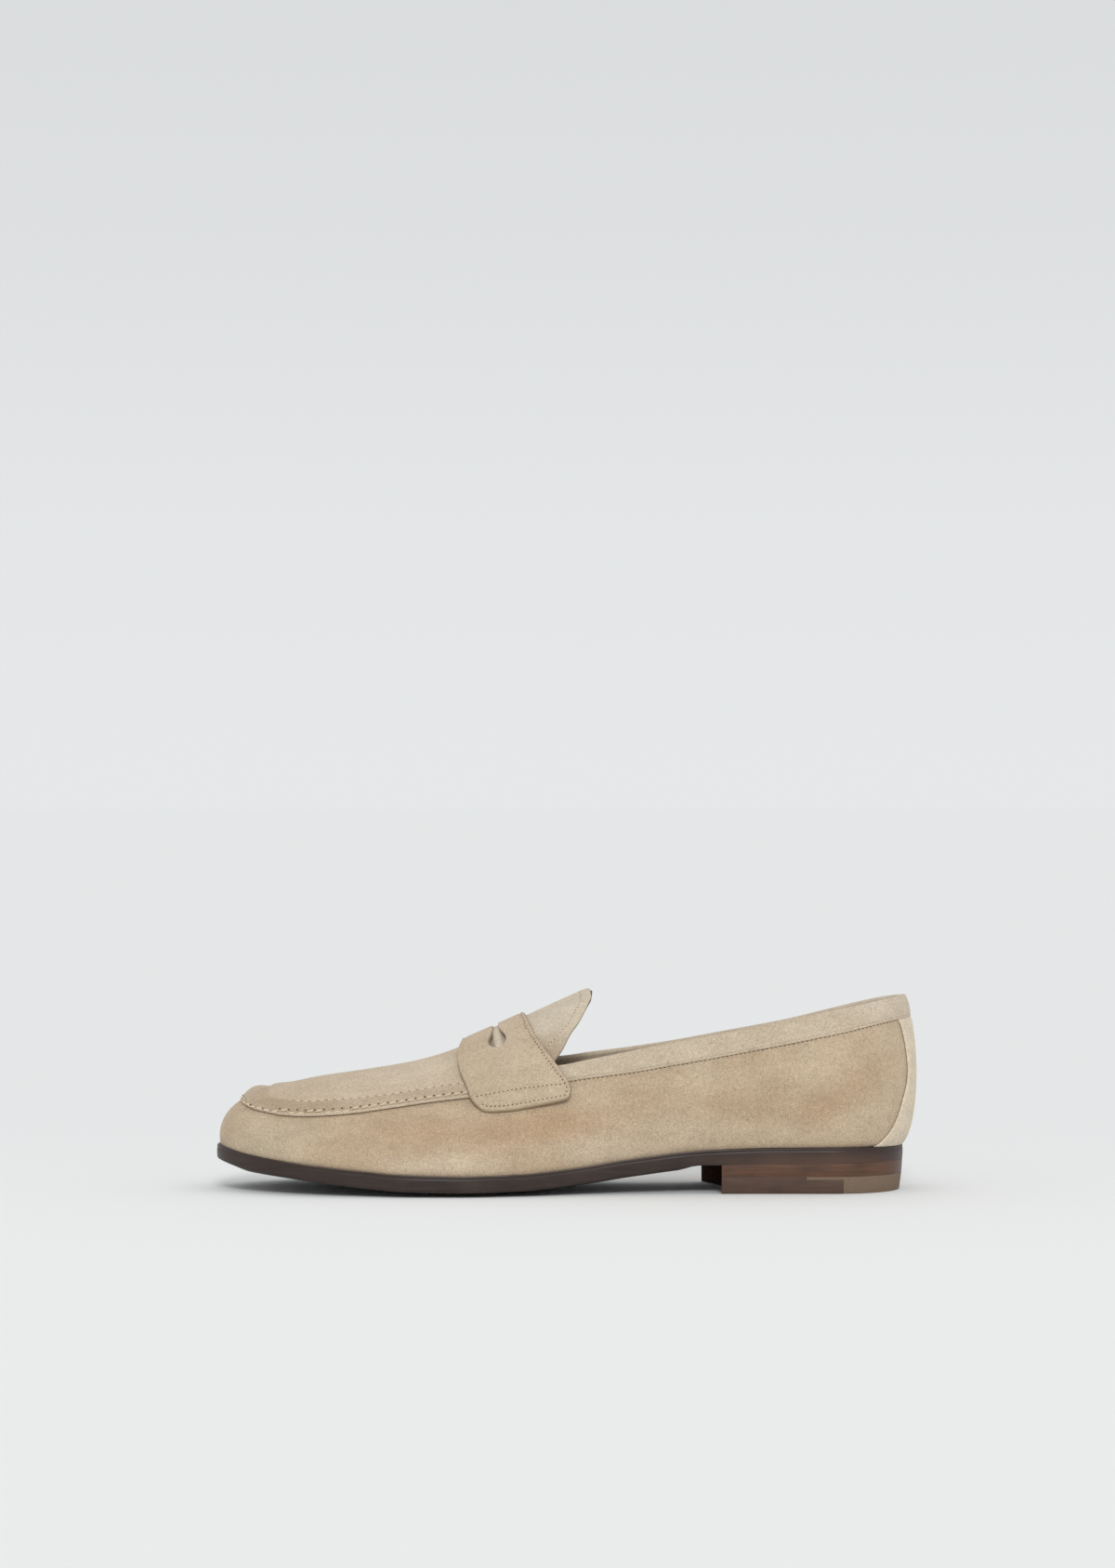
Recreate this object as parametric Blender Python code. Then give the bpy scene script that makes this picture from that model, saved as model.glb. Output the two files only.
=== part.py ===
"""A left penny loafer in suede on a thin leather sole with a low stacked heel.

The toe points to -X and the outer (lateral) side to -Y. The shoe stands on z = 0.
All tables are in millimetres. The last is one function of a station along the foot,
a side and a height on the section, and every piece of the upper is cut from it.
"""

import math
from collections import namedtuple
from functools import lru_cache

import bmesh
import bpy
import numpy as np

MM = 0.001
GAP = 0.3
LATERAL = -1
MEDIAL = 1

# Driving sizes of the last
HEEL_X = 140.8
TOE_X = -147.5
HEEL_ROUND = 31.0
HEEL_ROUND_POWER = 2.2
TOE_ROUND = 47.0
TOE_ROUND_POWER = 2.1

# Driving sizes of the leathers
UPPER_WALL = 2.0
APRON_THICKNESS = 1.2
TONGUE_THICKNESS = 1.7
STRAP_THICKNESS = 1.6
HEEL_STRIP_THICKNESS = 1.2
INSOLE_THICKNESS = 3.0
SOLE_RIM_TOE = 1.3
SOLE_RIM_HEEL = 2.3
SOLE_BELLY = 2.7
SOLE_BEVEL = 0.8
WAIST_X = 30.0
HEEL_SEAT_FRONT = 11.9
HEEL_SEAT_REAR = 12.9
TOP_PIECE_HEIGHT = 6.5
HEEL_TAPER = 1.4
BREAST_LATERAL_X = 66.0
BREAST_MEDIAL_X = 59.5
BREAST_HOLLOW = 6.0
TIP_FRONT_X = 117.0
TIP_SHELF_X = 101.5
TIP_SHELF_HEIGHT = 1.6

# How finely the pieces are divided
UPPER_STATIONS = 42
UPPER_ROWS = 11
APRON_ROWS = 5
SOLE_ROWS = 40
INSOLE_ROWS = 30
SOLE_COLUMNS = 8
STRAP_COLUMNS = 10
STRAP_ROWS = 12
TONGUE_COLUMNS = 6
TONGUE_ROWS = 7
STRIP_COLUMNS = 6
STRIP_ROWS = 9
HEEL_COLUMNS = 8
HEEL_ROWS = 8
SHARP_ANGLE = math.radians(35)

# One row for each section of the last, from the heel to the toe. x is the section's place at
# the feather, lateral and medial its half widths there, feather the height of the feather and
# arch how much higher it lies on the medial side. top_x is where the section meets the ridge.
# out and up are the section's handle at the feather, crown and peak its handle at the ridge.
Section = namedtuple("Section", "x lateral medial feather arch top_x out up crown peak")
SECTIONS = (
    Section(HEEL_X, 28.5, 28.5, 19.3, 0.0, 125.0, 7.0, 0.5, 32.0, 20.0),
    Section(120.0, 30.0, 30.0, 19.5, 0.0, 110.0, 6.0, 7.0, 41.0, 23.0),
    Section(90.0, 30.0, 29.5, 19.4, 0.3, 88.0, 5.0, 11.0, 39.0, 27.0),
    Section(60.0, 30.5, 27.5, 18.5, 1.5, 64.0, 4.5, 12.0, 42.0, 27.0),
    Section(30.0, 33.0, 25.5, 15.3, 3.0, 40.0, 5.0, 12.5, 43.0, 20.0),
    Section(5.0, 37.5, 28.5, 11.7, 2.5, 14.0, 4.5, 13.0, 37.0, 11.0),
    Section(-20.0, 44.0, 37.5, 9.3, 1.0, -12.0, 3.8, 12.5, 27.0, 4.0),
    Section(-45.0, 48.5, 46.0, 8.2, 0.0, -36.0, 4.0, 9.5, 21.0, 1.5),
    Section(-65.0, 48.0, 49.0, 8.7, 0.0, -53.0, 4.0, 9.0, 20.0, 1.0),
    Section(-90.0, 43.5, 46.5, 10.8, 0.0, -75.0, 4.0, 9.0, 20.0, 0.5),
    Section(-115.0, 38.0, 41.0, 13.2, 0.0, -96.0, 3.5, 10.5, 19.0, 0.5),
    Section(-135.0, 34.0, 36.5, 15.6, 0.0, -114.0, 3.0, 13.5, 19.0, 0.0),
    Section(TOE_X, 32.0, 34.0, 19.0, 0.0, -117.0, 2.5, 15.0, 19.0, 0.0),
)

# How thick the sole is at its edge, along the foot
SoleEdge = namedtuple("SoleEdge", "x thickness")
SOLE_EDGE = (
    SoleEdge(-149.0, 4.4),
    SoleEdge(-140.0, 4.9),
    SoleEdge(-125.0, 5.3),
    SoleEdge(-105.0, 5.8),
    SoleEdge(-75.0, 6.3),
    SoleEdge(142.0, 6.3),
)

# The ridge of the last in side view, from the toe over the instep to the top of the cone
Ridge = namedtuple("Ridge", "x y z")
RIDGE = (
    Ridge(-117.0, 0.0, 43.9),
    Ridge(-105.0, 1.5, 46.3),
    Ridge(-85.5, 3.0, 49.1),
    Ridge(-65.7, 4.0, 52.4),
    Ridge(-51.4, 4.0, 56.3),
    Ridge(-37.0, 4.0, 62.3),
    Ridge(-18.0, 4.0, 70.7),
    Ridge(-4.0, 3.8, 77.1),
    Ridge(9.6, 3.5, 83.2),
    Ridge(40.0, 2.0, 96.0),
    Ridge(75.0, 0.0, 106.0),
    Ridge(125.0, 0.0, 111.0),
)

# The edge of the opening in side view, from the throat under the strap to the heel
Collar = namedtuple("Collar", "x lateral medial")
COLLAR = (
    Collar(-24.0, 68.0, 68.0),
    Collar(-15.0, 59.5, 60.0),
    Collar(-6.0, 54.0, 54.5),
    Collar(10.0, 56.8, 56.3),
    Collar(37.0, 62.4, 59.8),
    Collar(70.0, 68.4, 65.8),
    Collar(113.0, 76.5, 74.9),
    Collar(138.0, 81.6, 81.2),
    Collar(150.0, 83.5, 83.5),
)

# The lip of the apron: its height along the vamp, and where the apron ends under the strap
Lip = namedtuple("Lip", "x z")
APRON_LIP = (
    Lip(-139.5, 37.6),
    Lip(-128.0, 34.6),
    Lip(-115.0, 32.8),
    Lip(-103.0, 32.3),
    Lip(-80.0, 34.3),
    Lip(-57.0, 38.2),
    Lip(-41.0, 40.6),
)
APRON_REAR_X = -44.0

# The strap's front and rear edges and the tongue's rear edge, by height on the section
Edge = namedtuple("Edge", "h front rear")
STRAP_EDGES = (
    Edge(0.36, -36.0, 7.0),
    Edge(0.46, -39.3, 1.8),
    Edge(0.55, -42.2, -4.2),
    Edge(0.68, -44.8, -10.5),
    Edge(0.85, -46.0, -15.4),
    Edge(1.00, -44.5, -17.5),
)
STRAP_FOOT_FRONT = 0.382
STRAP_FOOT_REAR = 0.366
STRAP_CORNER = 0.09
STRAP_CORNER_POWER = 4.0
STRAP_FOOT_Z = 34.5
STRAP_CLEAR_Z = 40.0
TONGUE_EDGES = (
    Edge(0.57, -12.0, -5.0),
    Edge(0.67, -21.0, 1.4),
    Edge(0.75, -26.0, 6.2),
    Edge(0.83, -30.0, 9.4),
    Edge(0.90, -33.0, 10.9),
    Edge(1.00, -35.0, 11.6),
)

# The slot across the strap: its cells, counted from the front edge and from the ridge
SLOT_COLUMNS = (4, 5)
SLOT_ROWS = 4

# The heel strip's half width, by height on the section
Strip = namedtuple("Strip", "h half")
HEEL_STRIP = (
    Strip(0.06, 17.5),
    Strip(0.2, 16.0),
    Strip(0.4, 13.5),
    Strip(0.7, 13.0),
)
HEEL_STRIP_TOP = 72.0

# A row across the heel: its stations on both sides, how far its middle is hollowed back, heights
HeelRow = namedtuple("HeelRow", "lateral medial hollow top bottom")

# Colours, as linear base colour, with roughness
Finish = namedtuple("Finish", "colour roughness")
SUEDE = Finish((0.47, 0.36, 0.26, 1.0), 0.95)
SOLE_LEATHER = Finish((0.06, 0.032, 0.022, 1.0), 0.45)
LIFT_LEATHER = Finish((0.11, 0.045, 0.028, 1.0), 0.5)
RUBBER = Finish((0.22, 0.17, 0.13, 1.0), 0.75)
SOCK = Finish((0.36, 0.28, 0.2, 1.0), 0.7)


def smooth_curve(xs, ys):
    """A smooth function through the points that doesn't overshoot between them."""
    order = np.argsort(xs)
    xs = np.asarray(xs, float)[order]
    ys = np.asarray(ys, float)[order]
    gaps = np.diff(xs)
    slopes = np.diff(ys) / gaps
    tangents = np.concatenate(([slopes[0]], np.zeros(len(xs) - 2), [slopes[-1]]))
    for i in range(1, len(xs) - 1):
        before, after = slopes[i - 1], slopes[i]
        if before * after > 0.0:
            near, far = 2 * gaps[i] + gaps[i - 1], gaps[i] + 2 * gaps[i - 1]
            tangents[i] = (near + far) / (near / before + far / after)

    def at(x):
        i = min(max(int(np.searchsorted(xs, x)) - 1, 0), len(gaps) - 1)
        u = min(max((x - xs[i]) / gaps[i], 0.0), 1.0)
        start = (1 + 2 * u) * (1 - u) ** 2 * ys[i] + u * (1 - u) ** 2 * gaps[i] * tangents[i]
        end = u * u * (3 - 2 * u) * ys[i + 1] - u * u * (1 - u) * gaps[i] * tangents[i + 1]
        return start + end

    return at


def column(rows, key, value):
    """A smooth function from one named column of a table to another."""
    return smooth_curve([getattr(row, key) for row in rows], [getattr(row, value) for row in rows])


SECTION = {name: column(SECTIONS, "x", name) for name in Section._fields[1:]}
RIDGE_Y = column(RIDGE, "x", "y")
RIDGE_Z = column(RIDGE, "x", "z")
COLLAR_Z = {LATERAL: column(COLLAR, "x", "lateral"), MEDIAL: column(COLLAR, "x", "medial")}
LIP_Z = column(APRON_LIP, "x", "z")
SOLE_THICKNESS = column(SOLE_EDGE, "x", "thickness")


def solve(function, low, high):
    """The place between low and high where a rising function crosses zero."""
    for _ in range(40):
        middle = (low + high) / 2
        if function(middle) < 0.0:
            low = middle
        else:
            high = middle
    return (low + high) / 2


def end_rounding(distance, length, power):
    """How much of the full width is left at a distance from a rounded end."""
    inward = 1.0 - min(max(distance / length, 0.0), 1.0)
    return (1.0 - inward ** power) ** (1.0 / power)


def station_x(t):
    """Place along the foot of a station, 0 at the heel and 1 at the toe."""
    return HEEL_X + (TOE_X - HEEL_X) * (1 - math.cos(math.pi * t)) / 2


def station_at(x):
    """The station whose feather lies at x."""
    share = min(max((x - HEEL_X) / (TOE_X - HEEL_X), 0.0), 1.0)
    return math.acos(1 - 2 * share) / math.pi


def plan_point(t, side):
    """The feather line seen from above."""
    x = station_x(t)
    width = SECTION["lateral" if side == LATERAL else "medial"](x)
    heel = end_rounding(HEEL_X - x, HEEL_ROUND, HEEL_ROUND_POWER)
    toe = end_rounding(x - TOE_X, TOE_ROUND, TOE_ROUND_POWER)
    return np.array((x, side * width * heel * toe))


@lru_cache(maxsize=None)
def plan_normal(t, side):
    """The outward direction of the feather line, seen from above."""
    if t in (0.0, 1.0):
        return 1.0 - 2.0 * t, 0.0
    step = 1e-4
    before = plan_point(max(t - step, 0.0), side)
    after = plan_point(min(t + step, 1.0), side)
    along = (after - before) / np.linalg.norm(after - before)
    return side * along[1], -side * along[0]


def feather_height(x, y):
    """Height of the feather line, a little higher on the medial side of the waist."""
    share = min(max(0.5 + y / 50.0, 0.0), 1.0)
    return SECTION["feather"](x) + SECTION["arch"](x) * share


def feather_point(t, side, grow=0.0):
    """A point of the feather line, moved outward in plan by grow."""
    x, y = plan_point(t, side)
    nx, ny = plan_normal(t, side)
    return np.array((x + grow * nx, y + grow * ny, feather_height(x, y)))


@lru_cache(maxsize=None)
def section(t, side):
    """The four control points of a section, from the feather to the ridge."""
    x = station_x(t)
    nx, ny = plan_normal(t, side)
    feather = feather_point(t, side)
    top_x = SECTION["top_x"](x)
    top = np.array((top_x, RIDGE_Y(top_x), RIDGE_Z(top_x)))
    ridge_slope = RIDGE_Z(top_x + 0.5) - RIDGE_Z(top_x - 0.5)
    out, crown = SECTION["out"](x), SECTION["crown"](x)
    low = feather + np.array((out * nx, out * ny, SECTION["up"](x)))
    high = top + crown * np.array((nx, ny, ridge_slope * nx)) - np.array((0, 0, SECTION["peak"](x)))
    return feather, low, high, top


def last_point(t, side, h):
    """A point of the last at a station and side, h from 0 at the feather to 1 at the ridge."""
    feather, low, high, top = section(t, side)
    g = 1.0 - h
    return g ** 3 * feather + 3 * g * g * h * low + 3 * g * h * h * high + h ** 3 * top


def height_on_section(t, side, line):
    """Where a section crosses a line of heights along the foot, or 1 if it stays below."""

    def above(h):
        x, _, z = last_point(t, side, h)
        return z - line(x)

    return solve(above, 0.0, 1.0) if above(1.0) > 0.0 else 1.0


def station_on_row(side, h, x):
    """The station at which the row of height h reaches x."""
    return solve(lambda t: x - last_point(t, side, h)[0], 0.0, 1.0)


def key_of(point):
    """Points nearer than a thousandth of a millimetre are one vertex."""
    return tuple(float(value) for value in np.round(point, 3) + 0.0)


def grid_faces(rows, side, skipped=()):
    """Faces of a grid of points, as tuples of vertex keys, with some cells left out.

    The rows run from heel to toe, and each row upward, or for a level grid from the medial
    side to the lateral one.
    """
    faces = []
    for i in range(len(rows) - 1):
        for j in range(len(rows[i]) - 1):
            corners = (rows[i][j], rows[i + 1][j], rows[i + 1][j + 1], rows[i][j + 1])
            face = tuple(dict.fromkeys(key_of(corner) for corner in corners))
            if len(face) > 2 and (i, j) not in skipped:
                faces.append(face if side == MEDIAL else face[::-1])
    return faces


def vertex_normals(faces):
    """Outward direction at every vertex of a set of faces."""
    normals = {key: np.zeros(3) for face in faces for key in face}
    for face in faces:
        points = [np.array(key) for key in face]
        area = sum((np.cross(points[i - 1], points[i]) for i in range(len(points))), np.zeros(3))
        for key in face:
            normals[key] += area
    return {key: normal / np.linalg.norm(normal) for key, normal in normals.items()}


def raised(faces, height, normals=None):
    """A layer that stands a height above the faces, along their normals.

    The height is one number, or a function of the vertex.
    """
    normals = normals or vertex_normals(faces)
    rise = height if callable(height) else lambda key: height
    return {key: np.array(key) + rise(key) * normal for key, normal in normals.items()}


def make_material(name, finish):
    """A plain material in the colour of the piece."""
    material = bpy.data.materials.new(name)
    material.use_nodes = True
    shader = material.node_tree.nodes["Principled BSDF"]
    shader.inputs["Base Color"].default_value = finish.colour
    shader.inputs["Roughness"].default_value = finish.roughness
    shader.inputs["Metallic"].default_value = 0.0
    return material


def make_solid(name, faces, layers, finish):
    """A closed solid between the first and last layer, with the middle layers round its edges.

    Each layer gives a place to every vertex key of the faces, and the first one is outermost.
    """
    used = {(face[i - 1], face[i]) for face in faces for i in range(len(face))}
    rim = sorted(edge for edge in used if edge[::-1] not in used)
    rim_keys = {key for edge in rim for key in edge}
    all_keys = {key for face in faces for key in face}
    mesh = bmesh.new()
    placed = []
    for number, layer in enumerate(layers):
        keys = all_keys if number in (0, len(layers) - 1) else rim_keys
        placed.append({key: mesh.verts.new(np.asarray(layer[key]) * MM) for key in sorted(keys)})
    for face in faces:
        mesh.faces.new([placed[0][key] for key in face])
        mesh.faces.new([placed[-1][key] for key in reversed(face)])
    for start, end in rim:
        for outer, inner in zip(placed, placed[1:]):
            mesh.faces.new((outer[end], outer[start], inner[start], inner[end]))
    bmesh.ops.triangulate(mesh, faces=mesh.faces)
    data = bpy.data.meshes.new(name)
    mesh.to_mesh(data)
    mesh.free()
    data.shade_smooth()
    data.set_sharp_from_angle(angle=SHARP_ANGLE)
    data.materials.append(make_material(name, finish))
    bpy.context.collection.objects.link(bpy.data.objects.new(name, data))


def make_overlay(name, faces, lift, thickness, finish):
    """A sheet that lies over the last, lifted clear of what is under it."""
    outside = raised(faces, lambda key: lift(key) + thickness)
    make_solid(name, faces, (outside, raised(faces, lift)), finish)


def close_lift(_):
    """A piece that lies straight on the upper."""
    return GAP


def strap_lift(key):
    """The strap lies on the upper at its feet, and over the apron and the tongue above them."""
    share = min(max((key[2] - STRAP_FOOT_Z) / (STRAP_CLEAR_Z - STRAP_FOOT_Z), 0.0), 1.0)
    return GAP + (GAP + TONGUE_THICKNESS) * share * share * (3 - 2 * share)


def make_upper():
    """Vamp and quarters: one wall, closed along the vamp, open at the collar and underneath."""
    faces = []
    feather_normals = {}
    for side in (LATERAL, MEDIAL):
        rows = []
        for i in range(UPPER_STATIONS + 1):
            t = i / UPPER_STATIONS
            top = height_on_section(t, side, COLLAR_Z[side])
            rows.append([last_point(t, side, top * j / UPPER_ROWS) for j in range(UPPER_ROWS + 1)])
            feather_normals[key_of(rows[-1][0])] = np.array((*plan_normal(t, side), 0.0))
        faces += grid_faces(rows, side)
    normals = vertex_normals(faces)
    normals.update(feather_normals)
    outside = raised(faces, 0.0, normals)
    inside = raised(faces, -UPPER_WALL, normals)
    make_solid("upper", faces, (outside, inside), SUEDE)


def make_apron():
    """The plug on top of the vamp, from the toe to its end under the strap."""
    first = math.ceil(station_at(APRON_REAR_X) * UPPER_STATIONS)
    faces = []
    for side in (LATERAL, MEDIAL):
        rows = []
        for i in range(first, UPPER_STATIONS + 1):
            t = i / UPPER_STATIONS
            lip = height_on_section(t, side, LIP_Z)
            heights = [lip + (1.0 - lip) * j / APRON_ROWS for j in range(APRON_ROWS + 1)]
            rows.append([last_point(t, side, h) for h in heights])
        faces += grid_faces(rows, side)
    make_overlay("apron", faces, close_lift, APRON_THICKNESS, SUEDE)


def strap_foot(across):
    """Height on the section of the strap's foot, across it from front to rear, corners rounded."""
    inward = abs(2 * across - 1) ** STRAP_CORNER_POWER
    corner = 1.0 - (1.0 - inward) ** (1 / STRAP_CORNER_POWER)
    return STRAP_FOOT_FRONT + (STRAP_FOOT_REAR - STRAP_FOOT_FRONT) * across + STRAP_CORNER * corner


def edged_rows(edges, side, columns, rows, foot):
    """Grid between a front and a rear edge on the last, from a foot line up to the ridge."""
    front = column(edges, "h", "front")
    rear = column(edges, "h", "rear")
    grid = []
    for i in range(columns + 1):
        across = 1.0 - i / columns
        low = foot(across)
        line = []
        for j in range(rows + 1):
            h = low + (1.0 - low) * j / rows
            x = front(h) + (rear(h) - front(h)) * across
            line.append(last_point(station_on_row(side, h, x), side, h))
        grid.append(line)
    return grid


def make_saddle_strap():
    """The strap over the instep: rounded feet on both sides, and a slot across the top."""
    slot = [(i, STRAP_ROWS - 1 - j) for i in SLOT_COLUMNS for j in range(SLOT_ROWS)]
    faces = []
    for side in (LATERAL, MEDIAL):
        rows = edged_rows(STRAP_EDGES, side, STRAP_COLUMNS, STRAP_ROWS, strap_foot)
        faces += grid_faces(rows, side, slot)
    make_overlay("saddle_strap", faces, strap_lift, STRAP_THICKNESS, SUEDE)


def make_tongue():
    """The flap behind the strap, which starts under it and arches over the instep."""
    faces = []
    for side in (LATERAL, MEDIAL):
        rows = edged_rows(TONGUE_EDGES, side, TONGUE_COLUMNS, TONGUE_ROWS, lambda _: TONGUE_EDGES[0].h)
        faces += grid_faces(rows, side)
    make_overlay("tongue", faces, close_lift, TONGUE_THICKNESS, SUEDE)


def make_heel_strip():
    """The strip over the heel seam, wider towards the sole."""
    half_width = column(HEEL_STRIP, "h", "half")
    top = height_on_section(0.0, LATERAL, lambda _: HEEL_STRIP_TOP)
    foot = HEEL_STRIP[0].h
    faces = []
    for side in (LATERAL, MEDIAL):
        rows = []
        for i in range(STRIP_COLUMNS + 1):
            line = []
            for j in range(STRIP_ROWS + 1):
                h = foot + (top - foot) * j / STRIP_ROWS
                edge = solve(lambda t: side * last_point(t, side, h)[1] - half_width(h), 0.0, 0.3)
                line.append(last_point(edge * i / STRIP_COLUMNS, side, h))
            rows.append(line)
        faces += grid_faces(rows, side)
    make_overlay("heel_strip", faces, close_lift, HEEL_STRIP_THICKNESS, SUEDE)


def sole_rim(t):
    """How far the sole stands out from the feather line."""
    return SOLE_RIM_HEEL + (SOLE_RIM_TOE - SOLE_RIM_HEEL) * t


def level_rows(ends, columns):
    """Rows of points straight across, from a medial end to a lateral one."""
    shares = [k / columns for k in range(columns + 1)]
    return [[medial + (lateral - medial) * share for share in shares] for medial, lateral in ends]


def outline_ends(stations, grow):
    """The two ends of a row across the foot at each station, moved outward by grow."""
    return [(feather_point(t, MEDIAL, grow(t)), feather_point(t, LATERAL, grow(t))) for t in stations]


def heel_seat(x):
    """Height of the joint between the sole and the heel."""
    share = (x - BREAST_MEDIAL_X) / (HEEL_X - BREAST_MEDIAL_X)
    return HEEL_SEAT_FRONT + (HEEL_SEAT_REAR - HEEL_SEAT_FRONT) * share


def sole_bottom(x, y, across):
    """Underside of the sole: bellied at the ball, flat on the heel, never below the floor."""
    edge = feather_height(x, y) - GAP - SOLE_THICKNESS(x)
    bellied = max(edge - SOLE_BELLY * (1.0 - across * across), 0.0)
    share = min(max((x - WAIST_X) / (BREAST_MEDIAL_X - WAIST_X), 0.0), 1.0)
    blend = share * share * (3 - 2 * share)
    return bellied + (heel_seat(x) + GAP - bellied) * blend


def make_outsole():
    """The sole from toe to heel, its lower edge a little rounded."""
    stations = [i / SOLE_ROWS for i in range(SOLE_ROWS + 1)]
    wide = level_rows(outline_ends(stations, sole_rim), SOLE_COLUMNS)
    narrow = level_rows(outline_ends(stations, lambda t: sole_rim(t) - SOLE_BEVEL), SOLE_COLUMNS)
    top, middle, bottom = {}, {}, {}
    for wide_row, narrow_row in zip(wide, narrow):
        for k, (point, low) in enumerate(zip(wide_row, narrow_row)):
            across = 2 * k / SOLE_COLUMNS - 1
            key = key_of(point)
            if key in top and abs(across) < 1:
                continue
            floor = sole_bottom(low[0], low[1], across)
            top[key] = np.array((point[0], point[1], feather_height(*point[:2]) - GAP))
            middle[key] = np.array((point[0], point[1], floor + SOLE_BEVEL))
            bottom[key] = np.array((low[0], low[1], floor))
    make_solid("outsole", grid_faces(wide, MEDIAL), (top, middle, bottom), SOLE_LEATHER)


def make_insole():
    """The insole with its sock, on the sole and inside the upper."""
    stations = [i / INSOLE_ROWS for i in range(INSOLE_ROWS + 1)]
    rows = level_rows(outline_ends(stations, lambda _: -UPPER_WALL - 2 * GAP), SOLE_COLUMNS)
    faces = grid_faces(rows, MEDIAL)
    keys = {key for face in faces for key in face}
    bottom = {key: np.array((key[0], key[1], feather_height(*key[:2]))) for key in keys}
    top = {key: point + np.array((0.0, 0.0, INSOLE_THICKNESS)) for key, point in bottom.items()}
    make_solid("insole", faces, (top, bottom), SOCK)


def heel_grow(z):
    """How far the heel stands out from the feather line at a height: it tapers to the floor."""
    return SOLE_RIM_HEEL - HEEL_TAPER * (1.0 - z / HEEL_SEAT_REAR)


def breast_row(share, top, bottom):
    """A row across the heel, a share of the way from its back to its hollow breast."""
    lateral = station_at(BREAST_LATERAL_X) * share
    medial = station_at(BREAST_MEDIAL_X) * share
    return HeelRow(lateral, medial, BREAST_HOLLOW * share ** 4, top, bottom)


def cross_row(x, top, bottom):
    """A straight row across the heel at x."""
    return HeelRow(station_at(x), station_at(x), 0.0, top, bottom)


def make_heel_piece(name, heel_rows, finish):
    """A piece of the heel from its rows, each with a top and a bottom height."""
    layers = ({}, {})
    grid = []
    for row in heel_rows:
        line = []
        for k in range(HEEL_COLUMNS + 1):
            across = k / HEEL_COLUMNS
            hollow = row.hollow * (1.0 - (2 * across - 1) ** 2)
            points = []
            for height in (row.top, row.bottom):
                seat = feather_point(row.lateral, LATERAL)[0]
                z = height(seat) if callable(height) else height
                medial = feather_point(row.medial, MEDIAL, heel_grow(z))
                lateral = feather_point(row.lateral, LATERAL, heel_grow(z))
                x, y, _ = medial + (lateral - medial) * across
                points.append(np.array((x + hollow, y, z)))
            key = key_of((*points[1][:2], len(grid)))
            layers[0][key], layers[1][key] = points
            line.append(np.array(key))
        grid.append(line)
    make_solid(name, grid_faces(grid, MEDIAL), layers, finish)


def make_heel():
    """Lift, top piece and rubber tip, the tip let into the top piece with a thin shelf."""
    shares = [i / HEEL_ROWS for i in range(HEEL_ROWS + 1)]
    lift_bottom = TOP_PIECE_HEIGHT + GAP
    make_heel_piece("heel_lift", [breast_row(s, heel_seat, lift_bottom) for s in shares], LIFT_LEATHER)
    shelf = TOP_PIECE_HEIGHT - TIP_SHELF_HEIGHT
    tip_end = station_at(TIP_FRONT_X)
    tip = [HeelRow(s * tip_end, s * tip_end, 0.0, TOP_PIECE_HEIGHT, 0.0) for s in shares]
    tip.append(cross_row(TIP_FRONT_X - GAP, TOP_PIECE_HEIGHT, shelf))
    tip.append(cross_row(TIP_SHELF_X, TOP_PIECE_HEIGHT, shelf))
    make_heel_piece("heel_rubber_tip", tip, RUBBER)
    full = station_at(TIP_SHELF_X - 3 * GAP) / station_at(BREAST_LATERAL_X)
    piece = [cross_row(x, shelf - GAP, 0.0) for x in (TIP_FRONT_X - 2 * GAP, TIP_SHELF_X - GAP)]
    piece.append(cross_row(TIP_SHELF_X - 2 * GAP, TOP_PIECE_HEIGHT, 0.0))
    piece += [breast_row(full + (1 - full) * s, TOP_PIECE_HEIGHT, 0.0) for s in shares[1:]]
    make_heel_piece("heel_top_piece", piece, SOLE_LEATHER)


def build():
    """Remove what is in the scene and make every piece."""
    for piece in list(bpy.data.objects):
        bpy.data.objects.remove(piece, do_unlink=True)
    make_outsole()
    make_heel()
    make_insole()
    make_upper()
    make_apron()
    make_tongue()
    make_saddle_strap()
    make_heel_strip()


build()
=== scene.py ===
"""Looks of a suede penny loafer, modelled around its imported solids.

Places are in millimetres in the shoe's own frame until they are written to a mesh: the toe points
to -X, the lateral side faces -Y and the floor is at z = 0.
"""

import logging
import math
from dataclasses import dataclass
from enum import Enum
from functools import cached_property, partial
from typing import Any, Callable, NamedTuple, Sequence

import bpy
import numpy as np
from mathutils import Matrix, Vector
from mathutils.bvhtree import BVHTree


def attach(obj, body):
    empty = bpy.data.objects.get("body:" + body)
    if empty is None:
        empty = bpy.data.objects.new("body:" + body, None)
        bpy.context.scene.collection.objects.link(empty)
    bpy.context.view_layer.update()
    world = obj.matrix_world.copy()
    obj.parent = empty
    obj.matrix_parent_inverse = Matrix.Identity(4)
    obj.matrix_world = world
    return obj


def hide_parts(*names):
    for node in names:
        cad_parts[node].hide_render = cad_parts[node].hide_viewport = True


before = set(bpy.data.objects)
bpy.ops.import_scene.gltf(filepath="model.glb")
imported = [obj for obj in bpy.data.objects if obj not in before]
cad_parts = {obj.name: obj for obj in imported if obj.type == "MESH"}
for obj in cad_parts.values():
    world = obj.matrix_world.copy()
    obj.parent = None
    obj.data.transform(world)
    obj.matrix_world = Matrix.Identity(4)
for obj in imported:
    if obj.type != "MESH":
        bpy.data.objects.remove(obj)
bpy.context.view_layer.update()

LOG = logging.getLogger("loafer")
MM = 0.001
BODY = "root"
LATERAL, MEDIAL = -1.0, 1.0

Array = np.ndarray
Colour = tuple[float, float, float]
Place = Callable[[Array, Array], Array]
Piece = bpy.types.Object
Material = bpy.types.Material
Socket = bpy.types.NodeSocket


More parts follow.
